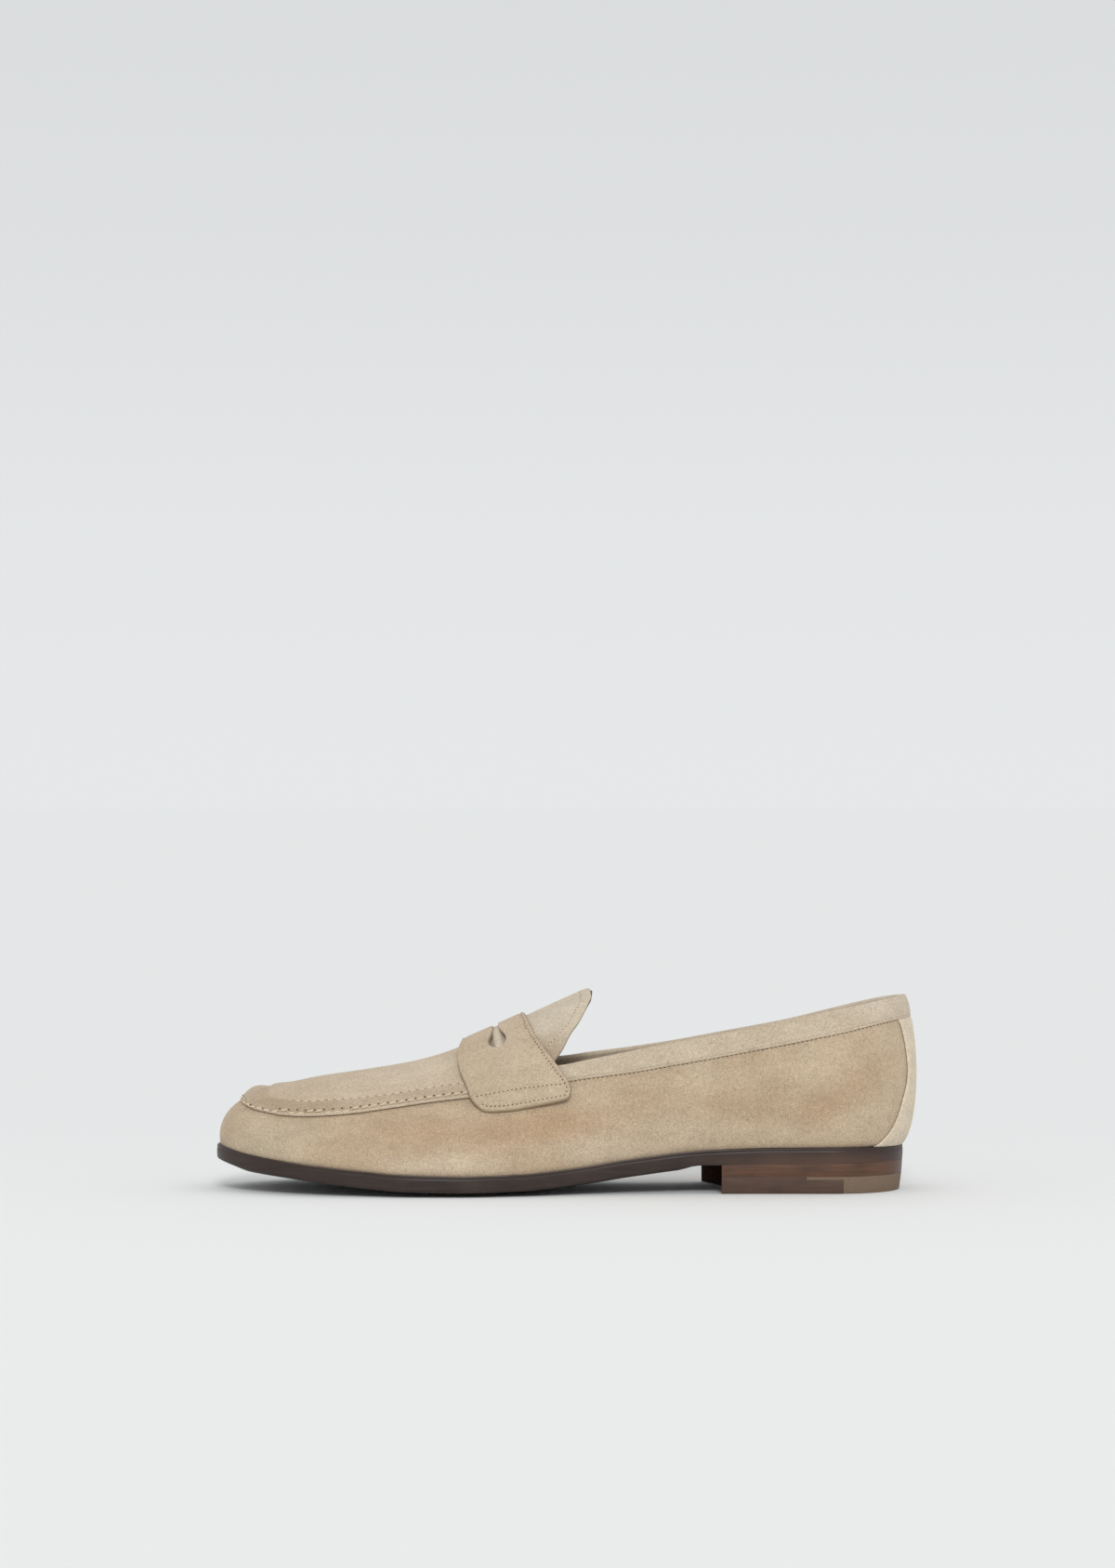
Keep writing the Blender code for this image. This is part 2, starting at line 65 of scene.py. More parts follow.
class Slot(Enum):
    """Material slots of the record."""

    SUEDE = "suede"
    SOLE = "sole_leather"
    HEEL = "heel_leather"
    RUBBER = "heel_rubber"
    SOCK = "sock_leather"


@dataclass(frozen=True)
class Curve:
    """A smooth function through a few points that doesn't overshoot between them."""

    xs: tuple[float, ...]
    ys: tuple[float, ...]

    @cached_property
    def tangents(self) -> Array:
        """Slope at every point, level where the points turn back.

        Returns:
            The slopes.
        """
        gaps = np.diff(self.xs)
        slopes = np.diff(self.ys) / gaps
        tangents = np.concatenate(([slopes[0]], np.zeros(len(self.xs) - 2), [slopes[-1]]))
        for i in range(1, len(self.xs) - 1):
            before, after = slopes[i - 1], slopes[i]
            if before * after > 0.0:
                near, far = 2 * gaps[i] + gaps[i - 1], gaps[i] + 2 * gaps[i - 1]
                tangents[i] = (near + far) / (near / before + far / after)
        return tangents

    def __call__(self, x: Array | float) -> Array:
        """Value at x, held level past both ends.

        Args:
            x: one place or an array of places.

        Returns:
            The values, in the shape of x.
        """
        xs, ys = np.array(self.xs), np.array(self.ys)
        i = np.clip(np.searchsorted(xs, x) - 1, 0, len(xs) - 2)
        gap = xs[i + 1] - xs[i]
        u = np.clip((x - xs[i]) / gap, 0.0, 1.0)
        start = (1 + 2 * u) * (1 - u) ** 2 * ys[i] + u * (1 - u) ** 2 * gap * self.tangents[i]
        end = u * u * (3 - 2 * u) * ys[i + 1] - u * u * (1 - u) * gap * self.tangents[i + 1]
        return start + end


def curves(rows: Sequence[NamedTuple]) -> dict[str, Curve]:
    """Smooth functions from the first column of a table to each of the others.

    Args:
        rows: the table, one named tuple a row.

    Returns:
        A curve for each other column, by its name.
    """
    ordered = sorted(rows)
    xs, *columns = zip(*ordered)
    return {name: Curve(xs, column) for name, column in zip(ordered[0]._fields[1:], columns)}


def smooth_step(low: float, high: float, x: Array) -> Array:
    """A soft rise from 0 at low to 1 at high."""
    share = np.clip((x - low) / (high - low), 0.0, 1.0)
    return share * share * (3 - 2 * share)


def swell(x: Array, centre: Array | float, width: float) -> Array:
    """A soft bump of height 1 round a centre."""
    return np.exp(-(((x - centre) / width) ** 2))


def round_over(inset: Array, width: float) -> Array:
    """A quarter round that rises from 0 at an edge to 1 a width inside it."""
    return np.sqrt(1.0 - (1.0 - np.clip(inset / width, 0.0, 1.0)) ** 2)


def solve(function: Callable[[Array], Array], low: Array, high: Array) -> Array:
    """Where rising functions cross zero.

    Args:
        function: gives one value for each place.
        low: places before the crossings.
        high: places after them.

    Returns:
        The crossings.
    """
    for _ in range(30):
        middle = (low + high) / 2
        before = function(middle) < 0.0
        low, high = np.where(before, middle, low), np.where(before, high, middle)
    return (low + high) / 2


def unit(vectors: Array) -> Array:
    """Vectors of length 1."""
    return vectors / np.maximum(np.linalg.norm(vectors, axis=-1, keepdims=True), 1e-9)


def run_along(path: Array) -> Array:
    """Distance along a path at each of its points."""
    return np.concatenate(([0.0], np.cumsum(np.linalg.norm(np.diff(path, axis=0), axis=1))))


def resample(path: Array, step: float) -> Array:
    """Points at even steps along a path.

    Args:
        path: points in order.
        step: the wanted distance between two points, met as nearly as the length allows.

    Returns:
        The new points, both ends included.
    """
    run = run_along(path)
    places = np.linspace(0.0, run[-1], max(int(round(run[-1] / step)), 2) + 1)
    return np.stack([np.interp(places, run, path[:, k]) for k in range(3)], axis=1)


def distance_to(points: Array, loop: Array) -> Array:
    """Distance of every point from a closed line.

    Args:
        points: the places to measure.
        loop: the corners of the line in order.

    Returns:
        One distance for each place.
    """
    ahead = np.roll(loop, -1, axis=0) - loop
    span = np.maximum((ahead**2).sum(axis=1), 1e-12)

    def measure(block: Array) -> Array:
        """Distances of a block of points.

        Args:
            block: some of the points.

        Returns:
            Their distances.
        """
        offset = block[:, None] - loop[None]
        share = np.clip((offset * ahead).sum(axis=2) / span, 0.0, 1.0)
        return np.linalg.norm(offset - share[..., None] * ahead, axis=2).min(axis=1)

    blocks = np.array_split(points, max(len(points) // 1000, 1))
    return np.concatenate([measure(block) for block in blocks])


class Section(NamedTuple):
    """One section of the last: half widths, feather height, top, and the pull of its curve."""

    x: float
    lateral: float
    medial: float
    feather: float
    arch: float
    top_x: float
    out: float
    up: float
    crown: float
    peak: float


class RidgePoint(NamedTuple):
    """A point of the ridge along the top of the last."""

    x: float
    y: float
    z: float


@dataclass(frozen=True)
class Last:
    """The form that the shoe is made on.

    A place on it is a station t (0 at the back of the heel, 1 at the tip of the toe), a side and a
    height h (0 at the feather line, 1 at the ridge).
    """

    heel_x: float = 140.8
    toe_x: float = -147.5
    heel_round: float = 31.0
    heel_power: float = 2.2
    toe_round: float = 47.0
    toe_power: float = 2.1
    arch_reach: float = 50.0
    sections: tuple[Section, ...] = (
        Section(140.8, 28.5, 28.5, 19.3, 0.0, 125, 9.5, 0.5, 30, 20.0),
        Section(120, 30.0, 30.0, 19.5, 0.0, 110, 6.0, 7.0, 41, 23.0),
        Section(90, 30.0, 29.5, 19.4, 0.3, 88, 5.0, 11.0, 39, 27.0),
        Section(60, 30.5, 27.5, 18.5, 1.5, 64, 4.5, 12.0, 42, 27.0),
        Section(30, 33.0, 25.5, 15.3, 3.0, 40, 5.0, 12.5, 43, 20.0),
        Section(5, 37.5, 28.5, 11.7, 2.5, 14, 4.5, 13.0, 37, 11.0),
        Section(-20, 44.0, 37.5, 9.3, 1.0, -12, 3.8, 12.5, 27, 4.0),
        Section(-45, 48.5, 46.0, 8.9, 0.0, -36, 4.0, 9.5, 21, 1.5),
        Section(-65, 48.0, 49.0, 9.3, 0.0, -53, 4.0, 9.0, 20, 1.0),
        Section(-90, 43.5, 46.5, 11.1, 0.0, -75, 4.0, 9.0, 20, 0.5),
        Section(-115, 38.0, 41.0, 13.7, 0.0, -96, 3.5, 10.5, 19, 0.5),
        Section(-135, 34.0, 36.5, 16.4, 0.0, -114, 3.0, 13.5, 19, 0.0),
        Section(-147.5, 32.0, 34.0, 19.0, 0.0, -117, 2.5, 15.0, 19, 0.0),
    )
    ridge: tuple[RidgePoint, ...] = (
        RidgePoint(-117, 0.0, 43.9),
        RidgePoint(-105, 1.5, 46.3),
        RidgePoint(-85.5, 3.0, 49.1),
        RidgePoint(-65.7, 4.0, 52.4),
        RidgePoint(-51.4, 4.0, 56.3),
        RidgePoint(-37, 4.0, 62.3),
        RidgePoint(-18, 4.0, 70.7),
        RidgePoint(-4, 3.8, 77.1),
        RidgePoint(9.6, 3.5, 83.2),
        RidgePoint(40, 2.0, 96.0),
        RidgePoint(75, 0.0, 106.0),
        RidgePoint(125, 0.0, 111.0),
    )

    @cached_property
    def cut(self) -> dict[str, Curve]:
        """The columns of the sections."""
        return curves(self.sections)

    @cached_property
    def top(self) -> dict[str, Curve]:
        """The columns of the ridge."""
        return curves(self.ridge)

    def station_x(self, t: Array) -> Array:
        """Place along the foot of the feather at a station."""
        return self.heel_x + (self.toe_x - self.heel_x) * (1 - np.cos(math.pi * t)) / 2

    def station_at(self, x: float) -> float:
        """The station whose feather lies at x."""
        return math.acos(1 - 2 * (x - self.heel_x) / (self.toe_x - self.heel_x)) / math.pi

    def plan(self, t: Array, side: Array) -> Array:
        """The feather line seen from above.

        Args:
            t: stations.
            side: lateral or medial, for each station.

        Returns:
            Points x, y.
        """
        x = self.station_x(t)
        width = np.where(side < 0, self.cut["lateral"](x), self.cut["medial"](x))
        heel = 1.0 - np.clip((self.heel_x - x) / self.heel_round, 0.0, 1.0)
        toe = 1.0 - np.clip((x - self.toe_x) / self.toe_round, 0.0, 1.0)
        heel = (1.0 - heel**self.heel_power) ** (1 / self.heel_power)
        toe = (1.0 - toe**self.toe_power) ** (1 / self.toe_power)
        return np.stack((x, side * width * heel * toe), axis=-1)

    def outward(self, t: Array, side: Array) -> Array:
        """The outward direction of the feather line, seen from above.

        Args:
            t: stations.
            side: lateral or medial, for each station.

        Returns:
            Unit vectors x, y.
        """
        step = 1e-4
        before = self.plan(np.maximum(t - step, 0.0), side)
        along = unit(self.plan(np.minimum(t + step, 1.0), side) - before)
        normal = np.stack((side * along[..., 1], -side * along[..., 0]), axis=-1)
        ends = (t <= 0.0) | (t >= 1.0)
        straight = np.stack((1.0 - 2.0 * t, 0.0 * t), axis=-1)
        return np.where(ends[..., None], straight, normal)

    def feather_height(self, x: Array, y: Array) -> Array:
        """Height of the feather line, a little higher on the medial side of the waist."""
        return self.cut["feather"](x) + self.cut["arch"](x) * np.clip(0.5 + y / self.arch_reach, 0.0, 1.0)

    def feather(self, t: Array, side: Array, grow: Array | float = 0.0) -> Array:
        """Points of the feather line, moved outward in plan.

        Args:
            t: stations.
            side: lateral or medial, for each station.
            grow: how far to move each point.

        Returns:
            Points x, y, z, at the height of the feather before the move.
        """
        plan = self.plan(t, side)
        moved = plan + np.asarray(grow)[..., None] * self.outward(t, side)
        height = self.feather_height(plan[..., 0], plan[..., 1])
        return np.concatenate((moved, height[..., None]), axis=-1)

    def surface(self, t: Array, side: Array, h: Array) -> Array:
        """Points of the last. Places past the heel, the toe or the ridge lie on the other side.

        Args:
            t: stations.
            side: lateral or medial.
            h: heights on the section.

        Returns:
            Points x, y, z.
        """
        t, side, h = (np.asarray(a, float) for a in np.broadcast_arrays(t, side, h))
        side = np.where((t < 0.0) ^ (t > 1.0) ^ (h > 1.0), -side, side)
        t = 1.0 - np.abs(1.0 - np.abs(t))
        h = np.where(h > 1.0, 2.0 - h, h)
        x = self.station_x(t)
        normal = self.outward(t, side)
        feather = self.feather(t, side)
        top_x = self.cut["top_x"](x)
        top = np.stack((top_x, self.top["y"](top_x), self.top["z"](top_x)), axis=-1)
        slope = self.top["z"](top_x + 0.5) - self.top["z"](top_x - 0.5)
        out, crown = self.cut["out"](x)[..., None], self.cut["crown"](x)[..., None]
        low = feather + np.concatenate((out * normal, self.cut["up"](x)[..., None]), axis=-1)
        lean = crown[..., 0] * slope * normal[..., 0] - self.cut["peak"](x)
        high = top + np.concatenate((crown * normal, lean[..., None]), axis=-1)
        h = h[..., None]
        g = 1.0 - h
        return g**3 * feather + 3 * g * g * h * low + 3 * g * h * h * high + h**3 * top

    def normal(self, t: Array, side: Array, h: Array) -> Array:
        """Outward directions of the last, turned softly to the ridge's own direction along the top.

        Args:
            t: stations.
            side: lateral or medial.
            h: heights on the section.

        Returns:
            Unit vectors.
        """
        step = 0.004
        along = self.surface(t + step, side, h) - self.surface(t - step, side, h)
        skin = unit(np.cross(along, self.rise(t, side, h)) * np.asarray(side)[..., None])
        top_x = self.cut["top_x"](self.station_x(np.clip(t, 0.0, 1.0)))
        slope = self.top["z"](top_x + 0.5) - self.top["z"](top_x - 0.5)
        crest = unit(np.stack((-slope, 0.0 * slope, 1.0 + 0.0 * slope), axis=-1))
        share = smooth_step(0.86, 1.0, h)[..., None]
        return unit(skin + (crest - skin) * share)

    def rise(self, t: Array, side: Array, h: Array) -> Array:
        """Directions up the sections."""
        step = 0.004
        return unit(self.surface(t, side, h + step) - self.surface(t, side, h - step))

    def lifted(self, t: Array, side: Array, h: Array, height: Array | float) -> Array:
        """Points a height above the last."""
        lift = np.asarray(height, float)[..., None]
        return self.surface(t, side, h) + lift * self.normal(t, side, h)

    def height_where(self, t: Array, side: Array, line: Callable[[Array], Array]) -> Array:
        """Where sections cross a line of heights along the foot.

        Args:
            t: stations.
            side: lateral or medial.
            line: gives the height at x.

        Returns:
            The heights h, 1 where a section stays below the line.
        """

        def above(h: Array) -> Array:
            """How far the section stands over the line."""
            point = self.surface(t, side, h)
            return point[..., 2] - line(point[..., 0])

        ones = np.ones_like(t)
        return np.where(above(ones) > 0.0, solve(above, 0 * ones, ones), 1.0)

    def station_where(self, side: Array, h: Array, x: Array) -> Array:
        """The stations at which rows of height h reach x."""
        low = np.zeros_like(h)
        return solve(lambda t: x - self.surface(t, side, h)[..., 0], low, low + 1.0)


LAST = Last()


def deselect_all() -> None:
    """Leave nothing selected, in object mode."""
    if bpy.context.mode != "OBJECT":
        bpy.ops.object.mode_set(mode="OBJECT")
    bpy.ops.object.select_all(action="DESELECT")


def pick(piece: Piece) -> None:
    """Select one piece alone and make it the active one.

    Args:
        piece: the piece.
    """
    deselect_all()
    piece.select_set(True)
    bpy.context.view_layer.objects.active = piece


def read_points(piece: Piece) -> Array:
    """The vertices of a piece, as its mesh holds them.

    Args:
        piece: the piece.

    Returns:
        Their places.
    """
    points = np.empty(len(piece.data.vertices) * 3)
    piece.data.vertices.foreach_get("co", points)
    return points.reshape(-1, 3)


def write_points(piece: Piece, points: Array) -> None:
    """Put the vertices of a piece at places in millimetres."""
    piece.data.vertices.foreach_set("co", (points * MM).ravel())
    piece.data.update()


def edit_all(piece: Piece, *steps: Callable[[], Any]) -> None:
    """Run edit-mode operators on the whole of a piece.

    Args:
        piece: the mesh to work on.
        steps: calls made in edit mode with everything selected.
    """
    pick(piece)
    bpy.ops.object.mode_set(mode="EDIT")
    bpy.ops.mesh.select_mode(type="VERT")
    for step in steps:
        bpy.ops.mesh.select_all(action="SELECT")
        step()
    bpy.ops.object.mode_set(mode="OBJECT")


def weld(piece: Piece, distance: float = 0.03) -> None:
    """Join the vertices where the edges of a sheet meet.

    Args:
        piece: the sheet.
        distance: vertices nearer than this become one.
    """
    edit_all(
        piece,
        lambda: bpy.ops.mesh.remove_doubles(threshold=distance * MM),
        lambda: bpy.ops.mesh.dissolve_degenerate(threshold=0.002 * MM),
    )


def draw_out(piece: Piece, way: tuple[float, float, float]) -> None:
    """Extrude the whole of a piece by a way in metres."""
    edit_all(piece, lambda: bpy.ops.mesh.extrude_region_move(TRANSFORM_OT_translate={"value": way}))


def face_outward(piece: Piece) -> None:
    """Turn the faces of a closed piece outward."""
    edit_all(piece, lambda: bpy.ops.mesh.normals_make_consistent(inside=False))


def close_ends(tube: Piece) -> None:
    """Fill both ends of a tube."""
    edit_all(tube, lambda: bpy.ops.mesh.fill_holes(sides=16))


def apply_modifier(piece: Piece, kind: str, **settings: Any) -> None:
    """Add a modifier to a piece and apply it.

    Args:
        piece: the mesh to work on.
        kind: the type of the modifier.
        settings: its properties.
    """
    pick(piece)
    bpy.ops.object.modifier_add(type=kind)
    modifier = piece.modifiers[-1]
    for name, value in settings.items():
        setattr(modifier, name, value)
    bpy.ops.object.modifier_apply(modifier=modifier.name)


def thicken(piece: Piece, thickness: float, lining: bool = False) -> None:
    """Give a sheet a wall on its inner side.

    Args:
        piece: the sheet, its faces pointing outward.
        thickness: of the wall.
        lining: whether the inner faces take the piece's second material.
    """
    apply_modifier(
        piece, "SOLIDIFY", thickness=thickness * MM, offset=-1.0, material_offset=int(lining)
    )


def soften(piece: Piece, width: float, angle: float = 50.0, segments: int = 3) -> None:
    """Round the sharp edges of a piece.

    Args:
        piece: the mesh to work on.
        width: of the rounding.
        angle: edges that turn by more than this, in degrees, are rounded.
        segments: faces across the rounding.
    """
    apply_modifier(
        piece,
        "BEVEL",
        width=width * MM,
        segments=segments,
        limit_method="ANGLE",
        angle_limit=math.radians(angle),
        use_clamp_overlap=True,
    )


def lay_sheet(name: str, columns: int, rows: int, place: Place, shade: Place | None = None) -> Piece:
    """A grid laid on a surface, its meeting edges joined.

    Args:
        name: of the piece.
        columns: divisions along the sheet.
        rows: divisions across it.
        place: gives the points for shares u along and v across. The faces point to du x dv.
        shade: gives how much painted shade the points take, from 0 to 1.

    Returns:
        The new piece.
    """
    deselect_all()
    bpy.ops.mesh.primitive_grid_add(x_subdivisions=columns, y_subdivisions=rows, size=1.0)
    sheet = bpy.context.active_object
    sheet.name = sheet.data.name = name
    flat = read_points(sheet) + 0.5
    write_points(sheet, place(flat[:, 0], flat[:, 1]))
    if shade:
        mark = sheet.data.attributes.new("shade", "FLOAT", "POINT")
        mark.data.foreach_set("value", shade(flat[:, 0], flat[:, 1]))
    weld(sheet)
    return sheet


def lay_tube(name: str, path: Array, normals: Array, radius: Array, sides: int) -> Piece:
    """A round tube along a path.

    Args:
        name: of the piece.
        path: points of its centre line.
        normals: the direction that stands out of the surface at each point.
        radius: at each point.
        sides: faces round the tube.

    Returns:
        The new piece.
    """
    ahead = unit(np.gradient(path, axis=0))
    across = unit(np.cross(normals, ahead))
    last = len(path) - 1

    def place(u: Array, v: Array) -> Array:
        """Points on the tube.

        Args:
            u: shares along the path.
            v: shares round the tube.

        Returns:
            The points.
        """
        i = np.rint(u * last).astype(int)
        turn = 2 * math.pi * v[:, None]
        ring = np.cos(turn) * normals[i] + np.sin(turn) * across[i]
        return path[i] + radius[i, None] * ring

    return lay_sheet(name, last, sides, place)


def smooth(piece: Piece, angle: float = 40.0) -> None:
    """Shade a piece smooth but for edges sharper than an angle in degrees."""
    pick(piece)
    bpy.ops.object.shade_smooth_by_angle(angle=math.radians(angle))


def dress(piece: Piece, *materials: Material) -> None:
    """Give a piece its materials, in the order of its material slots."""
    for material in materials:
        piece.data.materials.append(material)


def hand_over(piece: Piece, slot: Slot, *nodes: str) -> Piece:
    """Set a finished piece on the shoe.

    Args:
        piece: the finished mesh.
        slot: the record's slot; not used.
        nodes: solids that it stands for.

    Returns:
        The same piece.
    """
    smooth(piece)
    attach(piece, BODY)
    if nodes:
        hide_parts(*nodes)
    LOG.info("%s: %d faces, stands for %s", piece.name, len(piece.data.polygons), nodes or "nothing")
    return piece


class Graph:
    """A node tree that is wired by short calls."""

    def __init__(self, tree: bpy.types.NodeTree) -> None:
        """Start from an existing tree."""
        self.tree = tree

    def put(self, socket: Socket, value: Any) -> None:
        """Link a socket, or set its own value.

        Args:
            socket: the input.
            value: an output to link, a number, or a colour or vector of three numbers.
        """
        if isinstance(value, bpy.types.NodeSocket):
            self.tree.links.new(value, socket)
        elif isinstance(value, tuple) and socket.type == "RGBA":
            socket.default_value = (*value, 1.0)
        else:
            socket.default_value = value

    def node(self, kind: str, inputs: dict[str | int, Any], **settings: Any) -> bpy.types.Node:
        """Add a node.

        Args:
            kind: its type.
            inputs: values by the name or number of the input.
            settings: its properties.

        Returns:
            The node.
        """
        node = self.tree.nodes.new(kind)
        for name, value in settings.items():
            setattr(node, name, value)
        for name, value in inputs.items():
            self.put(node.inputs[name], value)
        return node

    def math(self, operation: str, a: Any, b: Any = 0.0) -> Socket:
        """A number worked out from two others."""
        return self.node("ShaderNodeMath", {0: a, 1: b}, operation=operation).outputs[0]

    def vector(self, operation: str, a: Any, b: Any = (0.0, 0.0, 0.0)) -> Socket:
        """A vector, or for LENGTH a number, worked out from two vectors."""
        node = self.node("ShaderNodeVectorMath", {0: a, 1: b}, operation=operation)
        return node.outputs["Value" if operation == "LENGTH" else "Vector"]

    def mix(self, share: Any, a: Any, b: Any, blend: str = "MIX") -> Socket:
        """A mix of two colours.

        Args:
            share: how much of the second.
            a: the first colour.
            b: the second.
            blend: how the second is laid over the first.

        Returns:
            The mixed colour.
        """
        node = self.node("ShaderNodeMix", {}, data_type="RGBA", blend_type=blend)
        for number, value in ((0, share), (6, a), (7, b)):
            self.put(node.inputs[number], value)
        return node.outputs[2]

    def spread(self, value: Any, low: float, high: float, to_low: Any = 0.0, to_high: Any = 1.0) -> Socket:
        """A value moved softly from one range to another.

        Args:
            value: the input.
            low: start of its range.
            high: end of its range.
            to_low: result at the start.
            to_high: result at the end.

        Returns:
            The result, held at both ends.
        """
        inputs = {0: value, 1: low, 2: high, 3: to_low, 4: to_high}
        return self.node("ShaderNodeMapRange", inputs, interpolation_type="SMOOTHSTEP").outputs[0]

    def noise(self, place: Any, grain: float, detail: float = 2.0, rough: float = 0.5) -> Socket:
        """Noise over the surface.

        Args:
            place: the coordinates.
            grain: size of its spots in millimetres.
            detail: how many finer layers it has.
            rough: how strong they are.

        Returns:
            A value round a half.
        """
        inputs = {"Vector": place, "Scale": 1.0 / (grain * MM), "Detail": detail, "Roughness": rough}
        return self.node("ShaderNodeTexNoise", inputs).outputs[0]

    def object_place(self) -> Socket:
        """Coordinates of the object, in metres."""
        return self.node("ShaderNodeTexCoord", {}).outputs["Object"]

    def group(self, tree: bpy.types.NodeTree, **inputs: Any) -> dict[str, Socket]:
        """Place a node group.

        Args:
            tree: the group.
            inputs: its values by socket name.

        Returns:
            Its outputs by name.
        """
        node = self.node("ShaderNodeGroup", {}, node_tree=tree)
        for name, value in inputs.items():
            self.put(node.inputs[name], value)
        return {socket.name: socket for socket in node.outputs}

    def bump(self, height: Socket, depth: float, strength: float = 1.0) -> Socket:
        """A normal from a height between 0 and 1.

        Args:
            height: the value.
            depth: its height in millimetres.
            strength: of the effect.

        Returns:
            The normal.
        """
        inputs = {"Height": height, "Distance": depth * MM, "Strength": strength}
        return self.node("ShaderNodeBump", inputs).outputs[0]


def new_group(
    name: str, inputs: dict[str, str], outputs: dict[str, str]
) -> tuple[Graph, dict[str, Socket], bpy.types.Node]:
    """An empty shader node group.

    Args:
        name: of the group.
        inputs: kinds of its inputs by name, such as Float, Color or Vector.
        outputs: kinds of its outputs by name.

    Returns:
        Its graph, its inputs as sockets to link from, and its output node.
    """
    tree = bpy.data.node_groups.new(name, "ShaderNodeTree")
    for in_out, sockets in (("INPUT", inputs), ("OUTPUT", outputs)):
        for socket, kind in sockets.items():
            tree.interface.new_socket(socket, in_out=in_out, socket_type="NodeSocket" + kind)
    graph = Graph(tree)
    start = graph.node("NodeGroupInput", {})
    return graph, {s.name: s for s in start.outputs if s.name}, graph.node("NodeGroupOutput", {})


class Effects:
    """Node groups that several materials share."""

    def __init__(self) -> None:
        """Build the groups once."""
        self.nap = self.make_nap()
        self.patch = self.make_patch()
        self.fibre = self.make_fibre()

    @staticmethod
    def make_nap() -> bpy.types.NodeTree:
        """Suede nap: fine speckle, brushed mottle and broad clouds, with a height for bump.

        Returns:
            The group.
        """
        outputs = dict.fromkeys(("Speckle", "Mottle", "Cloud", "Height"), "Float")
        graph, start, end = new_group("nap", {"Place": "Vector"}, outputs)
        place = start["Place"]
        fine = graph.noise(place, 0.42, 2.0, 0.6)
        coarse = graph.noise(place, 1.5, 2.0, 0.6)
        grains = graph.math("ADD", graph.math("MULTIPLY", fine, 0.8), graph.math("MULTIPLY", coarse, 0.2))
        brushed = graph.vector("MULTIPLY", place, (0.4, 1.0, 1.0))
        mottle = graph.noise(brushed, 6.0, 2.0, 0.5)
        graph.put(end.inputs["Speckle"], graph.spread(grains, 0.1, 0.9))
        graph.put(end.inputs["Mottle"], graph.spread(mottle, 0.25, 0.75))
        graph.put(end.inputs["Cloud"], graph.spread(graph.noise(place, 30.0, 2.0), 0.3, 0.7))
        graph.put(end.inputs["Height"], grains)
        return graph.tree

    @staticmethod
    def make_patch() -> bpy.types.NodeTree:
        """A soft ragged spot at a place, with a reach along each axis.

        Returns:
            The group.
        """
        inputs = dict.fromkeys(("Place", "Centre", "Reach"), "Vector")
        graph, start, end = new_group("patch", inputs, {"Mask": "Float"})
        place = start["Place"]
        cloud = graph.node("ShaderNodeTexNoise", {"Vector": place, "Scale": 90.0, "Detail": 3.0})
        wander = graph.vector("SUBTRACT", cloud.outputs["Color"], (0.5, 0.5, 0.5))
        wander = graph.vector("MULTIPLY", wander, (0.6, 0.6, 0.6))
        offset = graph.vector("SUBTRACT", place, start["Centre"])
        offset = graph.vector("DIVIDE", offset, start["Reach"])
        away = graph.vector("LENGTH", graph.vector("ADD", offset, wander))
        graph.put(end.inputs["Mask"], graph.spread(away, 1.3, 0.0))
        return graph.tree

    @staticmethod
    def make_fibre() -> bpy.types.NodeTree:
        """Leather cut edge: fibres drawn out along the sole, with scattered pores.

        Returns:
            The group.
        """
        outputs = dict.fromkeys(("Streak", "Pore", "Height"), "Float")
        graph, start, end = new_group("fibre", {"Place": "Vector"}, outputs)
        drawn = graph.vector("MULTIPLY", start["Place"], (0.07, 0.07, 1.0))
        streak = graph.noise(drawn, 1.1, 4.0, 0.65)
        pore = graph.noise(start["Place"], 0.6, 1.0)
        graph.put(end.inputs["Streak"], graph.spread(streak, 0.3, 0.7))
        graph.put(end.inputs["Pore"], graph.spread(pore, 0.62, 0.75))
        graph.put(end.inputs["Height"], graph.math("SUBTRACT", streak, graph.math("MULTIPLY", pore, 0.3)))
        return graph.tree


def start_material(name: str) -> tuple[Material, Graph, bpy.types.Node]:
    """A new material.

    Args:
        name: of the material.

    Returns:
        The material, its graph and its shader node.
    """
    material = bpy.data.materials.new(name)
    material.use_nodes = True
    return material, Graph(material.node_tree), material.node_tree.nodes["Principled BSDF"]


class Patch(NamedTuple):
    """A soft spot of another colour, placed in the shoe's own sizes."""

    x: float
    z: float
    length: float
    height: float
    colour: Colour
    amount: float


def lay_patches(
    graph: Graph, effects: Effects, place: Socket, colour: Socket, patches: Sequence[Patch]
) -> Socket:
    """Lay patches over a colour, the same on both sides of the shoe.

    Args:
        graph: of the material.
        effects: the shared node groups.
        place: coordinates of the object.
        colour: the colour under them.
        patches: the patches, one over another.

    Returns:
        The colour with the patches.
    """
    for patch in patches:
        near = graph.vector("ABSOLUTE", graph.vector("MULTIPLY", place, (0.0, 1.0, 0.0)))
        flat = graph.vector("ADD", graph.vector("MULTIPLY", place, (1.0, 0.0, 1.0)), near)
        centre = (patch.x * MM, 40.0 * MM, patch.z * MM)
        reach = (patch.length * MM, 60.0 * MM, patch.height * MM)
        mask = graph.group(effects.patch, Place=flat, Centre=centre, Reach=reach)["Mask"]
        colour = graph.mix(graph.math("MULTIPLY", mask, patch.amount), colour, patch.colour)
    return colour


